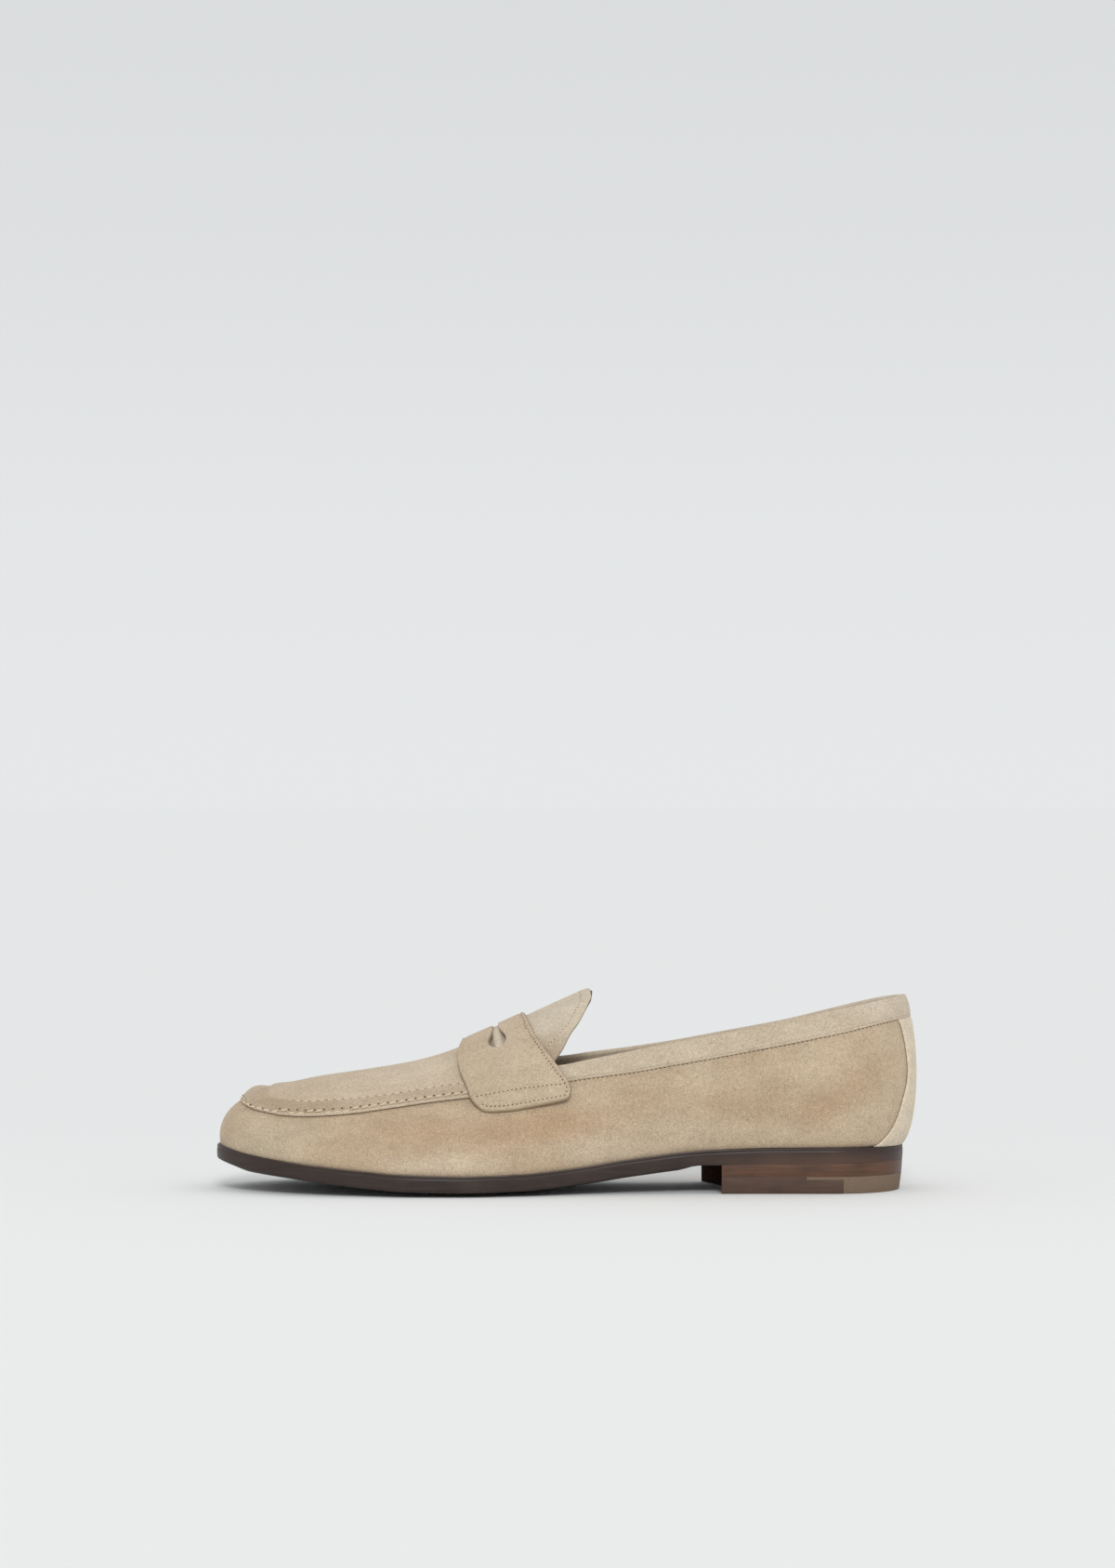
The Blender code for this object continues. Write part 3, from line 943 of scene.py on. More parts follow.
@dataclass(frozen=True)
class SuedeFinish:
    """Brushed suede: a base colour between a shaded and a lit nap, with patches, painted shade and speckle.
    """

    name: str
    shade: Colour
    light: Colour
    speckle: float = 0.5
    mottle: float = 0.08
    sheen: float = 0.22
    painted_shade: Colour = (0.18, 0.105, 0.045)
    patches: tuple[Patch, ...] = ()

    def make(self, effects: Effects) -> Material:
        """Build the material.

        Args:
            effects: the shared node groups.

        Returns:
            The material.
        """
        material, graph, shader = start_material(self.name)
        place = graph.object_place()
        nap = graph.group(effects.nap, Place=place)
        colour = graph.mix(nap["Cloud"], self.shade, self.light)
        colour = lay_patches(graph, effects, place, colour, self.patches)
        # Painted shade: the suede darkens toward a brown where the mesh's shade attribute is set.
        shade = graph.node("ShaderNodeAttribute", {}, attribute_name="shade").outputs["Fac"]
        colour = graph.mix(shade, colour, self.painted_shade)
        deep = tuple(1.0 - self.speckle * share for share in (1.0, 1.08, 1.18))
        worn = (1.0 + self.speckle,) * 3
        colour = graph.vector("MULTIPLY", colour, graph.mix(nap["Speckle"], deep, worn))
        brushed = graph.spread(nap["Mottle"], 0.0, 1.0, 1.0 - self.mottle / 2, 1.0 + self.mottle / 2)
        colour = graph.vector("SCALE", colour)
        graph.put(colour.node.inputs["Scale"], brushed)
        graph.put(shader.inputs["Base Color"], colour)
        graph.put(shader.inputs["Roughness"], graph.spread(nap["Speckle"], 0.0, 1.0, 0.86, 1.0))
        graph.put(shader.inputs["Normal"], graph.bump(nap["Height"], 0.3, 0.35))
        shader.inputs["Specular IOR Level"].default_value = 0.15
        shader.inputs["Sheen Weight"].default_value = self.sheen
        shader.inputs["Sheen Roughness"].default_value = 0.5
        shader.inputs["Sheen Tint"].default_value = (1.0, 0.93, 0.82, 1.0)
        return material


@dataclass(frozen=True)
class LeatherFinish:
    """Stained leather: streaked fibres between two colours, with a soft polish."""

    name: str
    dark: Colour
    light: Colour
    roughness: float = 0.42
    coat: float = 0.05
    depth: float = 0.06
    patches: tuple[Patch, ...] = ()

    def make(self, effects: Effects) -> Material:
        """Build the material.

        Args:
            effects: the shared node groups.

        Returns:
            The material.
        """
        material, graph, shader = start_material(self.name)
        place = graph.object_place()
        fibre = graph.group(effects.fibre, Place=place)
        cloud = graph.spread(graph.noise(place, 14.0, 3.0), 0.3, 0.7)
        streak = graph.math("MULTIPLY", fibre["Streak"], 0.6)
        share = graph.math("ADD", streak, graph.math("MULTIPLY", cloud, 0.4))
        colour = graph.mix(share, self.dark, self.light)
        colour = lay_patches(graph, effects, place, colour, self.patches)
        colour = graph.mix(graph.math("MULTIPLY", fibre["Pore"], 0.35), colour, self.dark)
        graph.put(shader.inputs["Base Color"], colour)
        rough = graph.spread(share, 0.0, 1.0, self.roughness - 0.06, self.roughness + 0.1)
        graph.put(shader.inputs["Roughness"], rough)
        graph.put(shader.inputs["Normal"], graph.bump(fibre["Height"], self.depth, 0.5))
        shader.inputs["Specular IOR Level"].default_value = 0.25
        shader.inputs["Coat Weight"].default_value = self.coat
        shader.inputs["Coat Roughness"].default_value = 0.35
        return material


@dataclass(frozen=True)
class PlainFinish:
    """A matt stuff with fine grain, such as rubber, thread or lining."""

    name: str
    dark: Colour
    light: Colour
    grain: float
    roughness: float
    depth: float
    shine: float = 0.25

    def make(self, _: Effects) -> Material:
        """Build the material.

        Args:
            _: the shared node groups, which a plain finish does not need.

        Returns:
            The material.
        """
        material, graph, shader = start_material(self.name)
        place = graph.object_place()
        grain = graph.noise(place, self.grain, 3.0, 0.6)
        colour = graph.mix(graph.spread(grain, 0.3, 0.7), self.dark, self.light)
        graph.put(shader.inputs["Base Color"], colour)
        rough = graph.spread(grain, 0.3, 0.7, self.roughness - 0.05, self.roughness + 0.05)
        graph.put(shader.inputs["Roughness"], rough)
        graph.put(shader.inputs["Normal"], graph.bump(grain, self.depth, 0.6))
        shader.inputs["Specular IOR Level"].default_value = self.shine
        return material


WARM = (0.405, 0.282, 0.178)
PALE = (0.55, 0.467, 0.358)
COOL = (0.42, 0.362, 0.262)
QUARTER_PATCHES = (
    # Painted shade on the toe's side under the lip, in a cooler tone.
    Patch(-126, 24, 26, 14, COOL, 0.7),
    Patch(-60, 27, 34, 12, WARM, 0.65),
    Patch(-28, 25, 28, 9, WARM, 0.65),
    Patch(-6, 30, 30, 9, WARM, 0.85),
    Patch(20, 36, 22, 7, WARM, 0.32),
    Patch(48, 38, 22, 9, WARM, 0.26),
    Patch(76, 36, 18, 9, WARM, 0.36),
    Patch(105, 35, 13, 8, WARM, 0.6),
    Patch(114, 40, 12, 8, WARM, 0.6),
    Patch(123, 46, 12, 8, WARM, 0.55),
    Patch(131, 53, 10, 8, WARM, 0.42),
    # Paler above the feather: the suede's own tone with painted light thrown up from the floor.
    Patch(-54, 13, 30, 6, PALE, 0.6),
    Patch(12, 19, 26, 7, PALE, 0.45),
    Patch(-131, 30, 9, 6, PALE, 0.4),
    Patch(60, 27, 30, 8, PALE, 0.3),
    Patch(130, 30, 16, 10, PALE, 0.25),
)


class Stuff(Enum):
    """Finishes of the shoe's pieces."""

    QUARTER = SuedeFinish(
        "suede_quarter", (0.443, 0.342, 0.235), (0.498, 0.402, 0.29), patches=QUARTER_PATCHES
    )
    APRON = SuedeFinish(
        "suede_apron",
        (0.49, 0.402, 0.298),
        (0.54, 0.452, 0.345),
        # Painted light on the apron's top along the ridge.
        patches=(Patch(-78, 54, 42, 9, (0.63, 0.555, 0.45), 0.7),),
    )
    STRAP = SuedeFinish(
        "suede_strap",
        (0.46, 0.367, 0.26),
        (0.497, 0.404, 0.297),
        # Painted light on the strap's crest.
        patches=(Patch(-34, 69, 18, 11, (0.57, 0.485, 0.38), 0.7),),
    )
    TRIM = SuedeFinish(
        "suede_trim",
        (0.482, 0.405, 0.305),
        (0.519, 0.442, 0.343),
        # Painted light on the collar band's top at the back.
        patches=(Patch(136, 80, 26, 9, (0.57, 0.50, 0.41), 0.7),),
    )
    TONGUE = SuedeFinish(
        "suede_tongue",
        # Paler and cooler than the quarter: the tongue's suede with painted light from above.
        (0.53, 0.465, 0.365),
        (0.575, 0.51, 0.41),
        # Painted shade on the tongue's foot beside the strap.
        patches=(Patch(-7, 57, 16, 13, (0.33, 0.25, 0.165), 0.8),),
    )
    # Paler than the other suede: the back strip's own tone with painted light on the back.
    STRIP = SuedeFinish("suede_strip", (0.61, 0.53, 0.415), (0.66, 0.58, 0.465))
    THREAD = PlainFinish("thread", (0.57, 0.46, 0.33), (0.71, 0.595, 0.455), 0.3, 0.7, 0.1)
    # Dark discs sunk in the needle holes: painted shade of the holes.
    HOLE = PlainFinish("needle_hole_shade", (0.1, 0.062, 0.036), (0.15, 0.097, 0.06), 0.3, 0.9, 0.05)
    # Dark brown lining: the leather's brown, darkened with painted shade of the shoe's inside.
    LINING = PlainFinish("lining", (0.19, 0.135, 0.093), (0.255, 0.183, 0.128), 0.8, 0.85, 0.15)
    TONGUE_LINING = PlainFinish("tongue_lining", (0.07, 0.07, 0.068), (0.12, 0.118, 0.112), 0.7, 0.8, 0.1)
    SOCK = PlainFinish("sock", (0.33, 0.255, 0.175), (0.40, 0.315, 0.225), 1.2, 0.6, 0.12)
    SOLE = LeatherFinish(
        "sole_edge",
        (0.026, 0.0165, 0.0135),
        (0.047, 0.031, 0.0255),
        patches=(Patch(108, 13.0, 52, 5, (0.1, 0.055, 0.037), 0.8),),
    )
    BEAD = LeatherFinish("edge_bead", (0.05, 0.034, 0.027), (0.17, 0.125, 0.095))
    LIFT = LeatherFinish("heel_lift", (0.064, 0.036, 0.024), (0.135, 0.064, 0.036))
    TOP_PIECE = LeatherFinish("heel_top_piece", (0.066, 0.040, 0.030), (0.105, 0.062, 0.045))
    # Dark matt front face of the heel: painted shade on the breast.
    BREAST = PlainFinish("heel_breast_shade", (0.035, 0.02, 0.015), (0.06, 0.034, 0.025), 1.5, 0.95, 0.1, 0.0)
    RUBBER = PlainFinish("rubber_tip", (0.157, 0.112, 0.076), (0.2, 0.144, 0.1), 0.5, 0.75, 0.05)


class Finishes:
    """Materials of the shoe, each made at its first use."""

    def __init__(self) -> None:
        """Build the effects that they share."""
        self.effects = Effects()
        self.made: dict[Stuff, Material] = {}

    def __getitem__(self, stuff: Stuff) -> Material:
        """The material of a finish.

        Args:
            stuff: the finish.

        Returns:
            Its material, the same one at every call.
        """
        if stuff not in self.made:
            self.made[stuff] = stuff.value.make(self.effects)
        return self.made[stuff]


class Thread(NamedTuple):
    """Sizes of a row of stitches: spacing, stitch, needle hole, slant in degrees, and the holes' shift."""

    pitch: float
    length: float
    width: float
    hole: float
    hole_width: float
    slant: float = 0.0
    hole_shift: float = 0.0


def take_template(segments: int, rings: int) -> tuple[Array, list[tuple[int, ...]]]:
    """A ball of radius 1 whose poles lie along its first axis.

    Args:
        segments: faces round it.
        rings: faces from pole to pole.

    Returns:
        Its points and its faces.
    """
    deselect_all()
    bpy.ops.mesh.primitive_uv_sphere_add(segments=segments, ring_count=rings, radius=1.0)
    ball = bpy.context.active_object
    points = read_points(ball)[:, (2, 0, 1)]
    faces = [tuple(face.vertices) for face in ball.data.polygons]
    bpy.data.objects.remove(ball, do_unlink=True)
    return points, faces


@dataclass
class Needlework:
    """Sews rows of stitches on finished pieces."""

    finishes: Finishes
    rise: float = 0.12
    hole_depth: float = 0.16

    def __post_init__(self) -> None:
        """Model one stitch and one needle hole."""
        self.stitch = take_template(8, 6)
        self.hole = take_template(8, 4)

    def sew(self, name: str, carrier: Piece, paths: Sequence[Array], thread: Thread) -> Piece:
        """Sew rows on a piece.

        Args:
            name: of the new piece.
            carrier: the piece that is sewn.
            paths: rows of points just outside the carrier.
            thread: sizes of the stitches.

        Returns:
            The stitches of all the rows and the painted shade of their needle holes, as one piece.
        """
        carrier_faces = [tuple(face.vertices) for face in carrier.data.polygons]
        tree = BVHTree.FromPolygons([v.co for v in carrier.data.vertices], carrier_faces)
        points: list[Array] = []
        faces: list[tuple[int, ...]] = []
        kinds: list[int] = []
        for path in paths:
            row = resample(path, thread.pitch / 2)
            spots = [tree.find_nearest(Vector(point * MM)) for point in row]
            place = np.array([spot[0] for spot in spots]) / MM
            normal = unit(np.array([spot[1] for spot in spots]))
            ahead = unit(np.gradient(place, axis=0))
            across = unit(np.cross(normal, ahead))
            turn = math.radians(thread.slant)
            slanted = ahead * math.cos(turn) + across * math.sin(turn)
            beside = across * math.cos(turn) - ahead * math.sin(turn)
            for i in range(1, len(row) - 1):
                is_hole = i % 2
                ball, ball_faces = self.hole if is_hole else self.stitch
                if is_hole:
                    half = (thread.hole / 2, thread.hole_width / 2, self.hole_depth)
                    axes = np.stack((slanted[i] * half[0], beside[i] * half[1], normal[i] * half[2]))
                    centre = place[i] + thread.hole_shift * across[i]
                else:
                    thick = thread.width / 2
                    axes = np.stack((slanted[i] * thread.length / 2, beside[i] * thick, normal[i] * thick))
                    centre = place[i] + self.rise * thread.width * normal[i]
                first = sum(len(block) for block in points)
                points.append(centre + ball @ axes)
                faces += [tuple(first + k for k in face) for face in ball_faces]
                kinds += [is_hole] * len(ball_faces)
        mesh = bpy.data.meshes.new(name)
        mesh.from_pydata(np.concatenate(points) * MM, [], faces)
        mesh.polygons.foreach_set("material_index", kinds)
        piece = bpy.data.objects.new(name, mesh)
        bpy.context.scene.collection.objects.link(piece)
        dress(piece, self.finishes[Stuff.THREAD], self.finishes[Stuff.HOLE])
        return hand_over(piece, Slot.SUEDE)


class CollarPoint(NamedTuple):
    """Height of the topline on both sides, and of the band below it."""

    x: float
    lateral: float
    medial: float
    band: float


class Crease(NamedTuple):
    """A soft trough, or a ridge where its depth is below 0, on one side of the upper."""

    side: float
    x: float
    z: float
    length: float
    width: float
    turn: float
    depth: float


@dataclass
class Upper:
    """Vamp and quarters with their lining, the collar band and the back strip."""

    finishes: Finishes
    needlework: Needlework
    stations: int = 420
    rows: int = 60
    wall: float = 1.25
    lining_wall: float = 0.65
    turned_in: float = 5.0
    turned_rows: int = 4
    topline_drop: float = 1.0
    band_out: float = 0.95
    band_in: float = -2.7
    band_fold: float = 1.2
    band_edge: float = 0.1
    band_puff: float = 0.3
    band_rises: float = 0.5
    band_turns: float = 0.7
    band_inside: float = 6.5
    band_front_x: float = -21.0
    bead: float = 0.62
    stitch: Thread = Thread(1.9, 1.0, 0.3, 0.95, 0.36)
    strip_thickness: float = 1.2
    strip_gap: float = 0.35
    strip_round: float = 0.9
    strip_tuck: float = 0.25
    collar: tuple[CollarPoint, ...] = (
        CollarPoint(-24, 68.0, 68.0, 6.0),
        CollarPoint(-15, 59.5, 60.0, 6.4),
        CollarPoint(-6, 54.0, 54.5, 6.6),
        CollarPoint(10, 56.8, 56.3, 7.5),
        CollarPoint(37, 62.4, 59.8, 9.1),
        CollarPoint(70, 68.4, 65.8, 9.3),
        CollarPoint(95, 73.4, 70.6, 9.6),
        CollarPoint(113, 77.3, 74.9, 9.8),
        CollarPoint(138, 81.9, 81.3, 9.2),
        CollarPoint(150, 83.5, 83.5, 9.2),
    )
    creases: tuple[Crease, ...] = (
        Crease(LATERAL, 88, 44, 26, 9, 70, 0.5),
        Crease(LATERAL, 20, 38, 30, 8, 12, 0.4),
        Crease(LATERAL, -74, 22, 26, 7, -10, 0.3),
        Crease(MEDIAL, 84, 44, 24, 9, 75, 0.5),
        Crease(MEDIAL, 18, 36, 32, 8, 14, 0.5),
        Crease(MEDIAL, -70, 24, 24, 7, -12, 0.35),
    )
    strip_half: Curve = Curve(
        (0.0, 0.08, 0.12, 0.2, 0.28, 0.33, 0.39, 0.45, 0.55, 0.7),
        (24.8, 24.0, 23.4, 21.6, 19.7, 18.2, 15.9, 14.8, 15.0, 16.0),
    )

    def __post_init__(self) -> None:
        """Read the collar table."""
        self.line = curves(self.collar)

    def topline(self, side: Array, drop: float = 0.0) -> Callable[[Array], Array]:
        """The topline as heights along the foot, lowered by a drop."""
        return lambda x: np.where(side < 0, self.line["lateral"](x), self.line["medial"](x)) - drop

    def around(self, u: Array, end: float = 1.0) -> tuple[Array, Array]:
        """Stations and sides from the lateral toe round the heel to the medial toe.

        Args:
            u: shares of the way.
            end: station where the way starts and ends.

        Returns:
            The stations and the sides.
        """
        way = 2.0 * u - 1.0
        return np.abs(way) * end, np.where(way < 0.0, LATERAL, MEDIAL)

    def relief(self, points: Array, side: Array) -> Array:
        """How far the creases lift the suede, at points of the last.

        Args:
            points: points of the last.
            side: lateral or medial.

        Returns:
            The heights, below 0 in a trough.
        """
        lift = np.zeros(len(points))
        for crease in self.creases:
            turn = math.radians(crease.turn)
            x, z = points[:, 0] - crease.x, points[:, 2] - crease.z
            along = x * math.cos(turn) + z * math.sin(turn)
            across = z * math.cos(turn) - x * math.sin(turn)
            trough = swell(along, 0.0, crease.length) * swell(across, 0.0, crease.width)
            lift -= np.where(side == crease.side, crease.depth * trough, 0.0)
        return lift

    def place_wall(self, u: Array, v: Array) -> Array:
        """Points of the suede, from its margin under the feather up to the topline.

        Args:
            u: shares along the sheet.
            v: shares across it.

        Returns:
            The points.
        """
        t, side = self.around(u)
        top = LAST.height_where(t, side, self.topline(side, self.topline_drop))
        turned = self.turned_rows / self.rows
        h = top * np.clip((v - turned) / (1.0 - turned), 0.0, 1.0)
        lift = self.relief(LAST.surface(t, side, h), side) * smooth_step(0.0, 0.12, h)
        wall = LAST.lifted(t, side, h, lift)
        margin = LAST.feather(t, side, -self.turned_in * np.clip(1.0 - v / turned, 0.0, 1.0))
        return np.where((v < turned)[:, None], margin, wall)

    def place_lining(self, u: Array, v: Array) -> Array:
        """Points of the lining's outer face, from the insole to under the collar band.

        Args:
            u: shares along the sheet.
            v: shares across it.

        Returns:
            The points.
        """
        t, side = self.around(u)
        top = LAST.height_where(t, side, self.topline(side, 2.0 + self.band_fold))
        return LAST.lifted(t, side, 0.03 + (top - 0.03) * v, -self.wall - 0.1)

    def place_band(self, u: Array, v: Array) -> Array:
        """Points of the collar band: up its outside, over the topline and down the inside.

        Args:
            u: shares along the sheet.
            v: shares across it.

        Returns:
            The points.
        """
        t, side = self.around(u, self.band_end)
        top = LAST.height_where(t, side, self.topline(side, self.band_fold))
        seam = LAST.height_where(t, side, self.seam_line(side))
        inside = LAST.height_where(t, side, self.topline(side, self.band_inside))
        outer = np.clip(v / self.band_rises, 0.0, 1.0)
        over = np.clip((v - self.band_rises) / (self.band_turns - self.band_rises), 0.0, 1.0)
        inner = np.clip((v - self.band_turns) / (1.0 - self.band_turns), 0.0, 1.0)
        h = np.where(v <= self.band_rises, seam + (top - seam) * outer, top - (top - inside) * inner)
        rounded = self.band_edge + (self.band_out - self.band_edge) * round_over(9.0 * outer, 0.8)
        puff = rounded + self.band_puff * np.sin(math.pi * outer)
        middle, reach = (self.band_out + self.band_in) / 2, (self.band_out - self.band_in) / 2
        height = np.where(v <= self.band_rises, puff, middle + reach * np.cos(math.pi * over))
        up = self.band_fold * np.sin(math.pi * over)
        return LAST.lifted(t, side, h, height) + up[:, None] * LAST.rise(t, side, h)

    def seam_line(self, side: Array, above: float = 0.0) -> Callable[[Array], Array]:
        """The band's lower edge as heights along the foot, or a line above it."""
        return lambda x: self.topline(side)(x) - self.line["band"](x) + above

    @cached_property
    def band_end(self) -> float:
        """Station where the collar band runs under the strap."""
        return LAST.station_at(self.band_front_x)

    def band_path(self, above: float, height: float) -> tuple[Array, Array]:
        """A line along the band.

        Args:
            above: how far it runs over the band's lower edge.
            height: how far it stands off the last.

        Returns:
            Its points and the outward directions.
        """
        t, side = self.around(np.linspace(0.0, 1.0, 420), self.band_end)
        h = LAST.height_where(t, side, self.seam_line(side, above))
        return LAST.lifted(t, side, h, height), LAST.normal(t, side, h)

    def strip_edge(self, side: Array, h: Array) -> Array:
        """Stations of the back strip's edges at heights on the last."""
        half, low = self.strip_half(h), np.zeros_like(h)
        return solve(lambda t: side * LAST.surface(t, side, h)[:, 1] - half, low, low + 0.3)

    def place_strip(self, u: Array, v: Array) -> Array:
        """Points of the back strip, its edges rounded down to the quarters.

        Args:
            u: shares along the sheet.
            v: shares across it.

        Returns:
            The points.
        """
        way = 2.0 * u - 1.0
        side = np.where(way < 0.0, LATERAL, MEDIAL)
        share = np.sin(np.abs(way) * math.pi / 2)
        under_band = self.strip_edge(side, np.full_like(u, 0.6)) * share
        top = LAST.height_where(under_band, side, self.seam_line(side, self.strip_tuck))
        h = top * v
        edge = self.strip_edge(side, h)
        rounded = round_over((1.0 - share) * self.strip_half(h), self.strip_round)
        lift = self.strip_gap + (self.strip_thickness - self.strip_gap) * rounded
        lift *= 1.0 - 0.9 * smooth_step(0.97, 1.0, v)
        return LAST.lifted(edge * share, side, h, lift)

    def build(self) -> None:
        """Make every piece of the upper."""
        wall = lay_sheet("upper", self.stations, self.rows, self.place_wall)
        dress(wall, self.finishes[Stuff.QUARTER])
        thicken(wall, self.wall)
        hand_over(wall, Slot.SUEDE, "upper")
        lining = lay_sheet("lining", 300, 44, self.place_lining)
        dress(lining, self.finishes[Stuff.LINING])
        thicken(lining, self.lining_wall)
        hand_over(lining, Slot.SOCK)
        band = lay_sheet("collar_band", 360, 50, self.place_band)
        dress(band, self.finishes[Stuff.TRIM])
        thicken(band, 0.5)
        hand_over(band, Slot.SUEDE)
        path, normals = self.band_path(-0.1, 0.35)
        bead = lay_tube("collar_bead", path, normals, np.full(len(path), self.bead), 10)
        dress(bead, self.finishes[Stuff.TRIM])
        close_ends(bead)
        hand_over(bead, Slot.SUEDE)
        self.needlework.sew("collar_stitches", wall, [self.band_path(-0.85, 0.4)[0]], self.stitch)
        strip = lay_sheet("heel_strip", 60, 60, self.place_strip)
        dress(strip, self.finishes[Stuff.STRIP])
        thicken(strip, 0.3)
        hand_over(strip, Slot.SUEDE, "heel_strip")


class LipPoint(NamedTuple):
    """A point of the apron's lip, with the insets of its sewn row and of its inner seam."""

    x: float
    z: float
    row: float
    seam: float


@dataclass
class Apron:
    """The plug on top of the vamp, with a rolled lip, a sewn row and a padded roll inside it."""

    finishes: Finishes
    needlework: Needlework
    columns: int = 300
    rows: int = 84
    thickness: float = 1.2
    rear_x: float = -40.0
    edge_zone: float = 15.0
    edge_share: float = 0.1
    zone_share: float = 0.68
    lip_groove: float = 0.4
    roll: float = 0.5
    toe_roll: float = 2.0
    toe_puff: float = 0.8
    seam_dip: float = 0.25
    toe_dip: float = 0.1
    seam_width: float = 0.8
    toe_width: float = 0.4
    # Strength of the painted shade under the lip.
    lip_dark: float = 0.75
    row_lift: float = 2.5
    pucker: float = 0.12
    scallop: float = 0.1
    lip_gap: float = 0.3
    stitch: Thread = Thread(3.9, 3.1, 0.9, 1.05, 0.75, 12.0, 0.45)
    fine_stitch: Thread = Thread(3.5, 2.3, 0.7, 1.15, 0.7, 8.0, 0.1)
    seam_stitch_start: float = 0.72
    lip: tuple[LipPoint, ...] = (
        LipPoint(-139.8, 38.2, 0.9, 15.0),
        LipPoint(-138.1, 36.7, 0.8, 13.0),
        LipPoint(-135, 35.0, 0.75, 10.9),
        LipPoint(-131.3, 33.9, 0.85, 9.5),
        LipPoint(-127.6, 33.2, 1.1, 9.3),
        LipPoint(-119, 32.0, 1.8, 9.4),
        LipPoint(-111.4, 31.7, 2.0, 9.6),
        LipPoint(-103.4, 32.0, 2.1, 10.2),
        LipPoint(-89.6, 33.1, 2.1, 10.1),
        LipPoint(-74, 35.2, 2.05, 9.5),
        LipPoint(-56.7, 37.8, 2.0, 9.4),
        LipPoint(-41, 39.8, 1.95, 8.9),
    )

    def __post_init__(self) -> None:
        """Read the lip table."""
        self.line = curves(self.lip)
        self.first = LAST.station_at(self.rear_x)

    def around(self, u: Array) -> tuple[Array, Array]:
        """Stations and sides from the medial rear round the toe to the lateral rear.

        Args:
            u: shares of the way.

        Returns:
            The stations and the sides.
        """
        way = 1.0 - 2.0 * u
        return 1.0 - np.abs(way) * (1.0 - self.first), np.where(way < 0.0, LATERAL, MEDIAL)

    def heights_at(self, u: Array, inset: Callable[[float, Array], Array]) -> Array:
        """Heights on the sections at a distance from the lip.

        Args:
            u: shares of the way round.
            inset: gives the distances of chosen points, from the section's length and their numbers.

        Returns:
            The heights h.
        """
        ways, index = np.unique(np.round(u, 9), return_inverse=True)
        t, side = self.around(ways)
        lip = LAST.height_where(t, side, self.line["z"])
        shares = np.linspace(0.0, 1.0, 80)
        heights = lip[:, None] + (1.0 - lip[:, None]) * shares
        points = LAST.surface(t[:, None], side[:, None], heights)
        result = np.empty_like(u)
        for i in range(len(ways)):
            chosen = np.flatnonzero(index == i)
            run = run_along(points[i])
            result[chosen] = np.interp(inset(run[-1], chosen), run, heights[i])
        return result

    def inset_at(self, column: str, u: Array) -> Array:
        """Inset of the sewn row or the inner seam at shares of the way round."""
        t, side = self.around(u)
        return self.line[column](LAST.surface(t, side, LAST.height_where(t, side, self.line["z"]))[:, 0])

    def lip_angle(self, v: Array) -> Array:
        """Angle round the rolled lip, from under it to its top."""
        return np.radians(-80.0 + 170.0 * np.clip(v / self.edge_share, 0.0, 1.0))

    def inset_of(self, v: Array, length: float) -> Array:
        """Distance from the lip of a share of the way to the ridge: round the lip, then inward.

        Args:
            v: shares of the way to the ridge.
            length: of the section from the lip to the ridge.

        Returns:
            The distances.
        """
        radius = self.thickness / 2
        inward = np.clip((v - self.edge_share) / (self.zone_share - self.edge_share), 0.0, 1.0)
        zone = (self.edge_zone - radius) * inward**1.25
        rest = (length - self.edge_zone) * np.clip((v - self.zone_share) / (1.0 - self.zone_share), 0.0, 1.0)
        return radius * (1.0 - np.cos(self.lip_angle(v))) + zone + rest

    @staticmethod
    def toe_share(u: Array) -> Array:
        """How near the toe shares of the way round are: 1 at the toe, 0 along the sides."""
        return smooth_step(0.26, 0.06, np.abs(u - 0.5))

    def skin(self, inset: Array, v: Array, u: Array) -> Array:
        """Height of the apron's surface over the vamp.

        Args:
            inset: distance from the lip.
            v: share of the way from the lip to the ridge.
            u: share of the way round.

        Returns:
            The heights.
        """
        seam, row, tug = self.inset_at("seam", u), self.inset_at("row", u), self.tug(u)
        toe = self.toe_share(u)
        roll = self.roll + (self.toe_roll - self.roll) * toe
        middle = (row + seam) / 2
        bulge = np.cos(math.pi * np.clip((inset - middle) / (seam - row), -0.5, 0.5))
        tip = smooth_step(0.13, 0.03, np.abs(u - 0.5))
        groove = (self.lip_groove + self.pucker * tug) * (1.0 - 0.5 * tip) * swell(inset, row, 0.6)
        width = self.seam_width + self.toe_width * toe
        inner = (self.seam_dip + self.toe_dip * toe) * swell(inset, seam, width)
        puff = smooth_step(seam - 2.0, seam + 1.0, inset) * smooth_step(seam + 16.0, seam + 3.0, inset)
        lip = self.thickness / 2 * (1.0 - 0.45 * tip) * (1.0 + np.sin(self.lip_angle(v)))
        top = roll * bulge - inner - groove * smooth_step(0.3, 1.0, inset) + self.toe_puff * toe * puff
        gap = 0.02 + self.lip_gap * (1.0 - 0.7 * tip) * swell(inset, 0.0, 1.5)
        return gap + lip + np.where(v < self.edge_share, 0.0, top)

    def shade(self, u: Array, v: Array) -> Array:
        """Painted shade under the lip, on the roll inside it and in the inner seam at the toe.

        Args:
            u: shares along the sheet.
            v: shares across it.

        Returns:
            How much painted shade the points take.
        """
        # Painted shade under the rolled lip.
        under = smooth_step(15.0, -45.0, np.degrees(self.lip_angle(v)))
        seam, inset = self.inset_at("seam", u), self.inset_of(v, self.edge_zone)
        toe = self.toe_share(u)
        amount = 0.16 + 0.2 * swell(np.abs(u - 0.5), 0.24, 0.13) - 0.04 * toe
        # Painted shade on the roll between the sewn row and the inner seam.
        worn = amount * smooth_step(seam + 1.0, seam - 3.0, inset) * smooth_step(0.6, 3.0, inset)
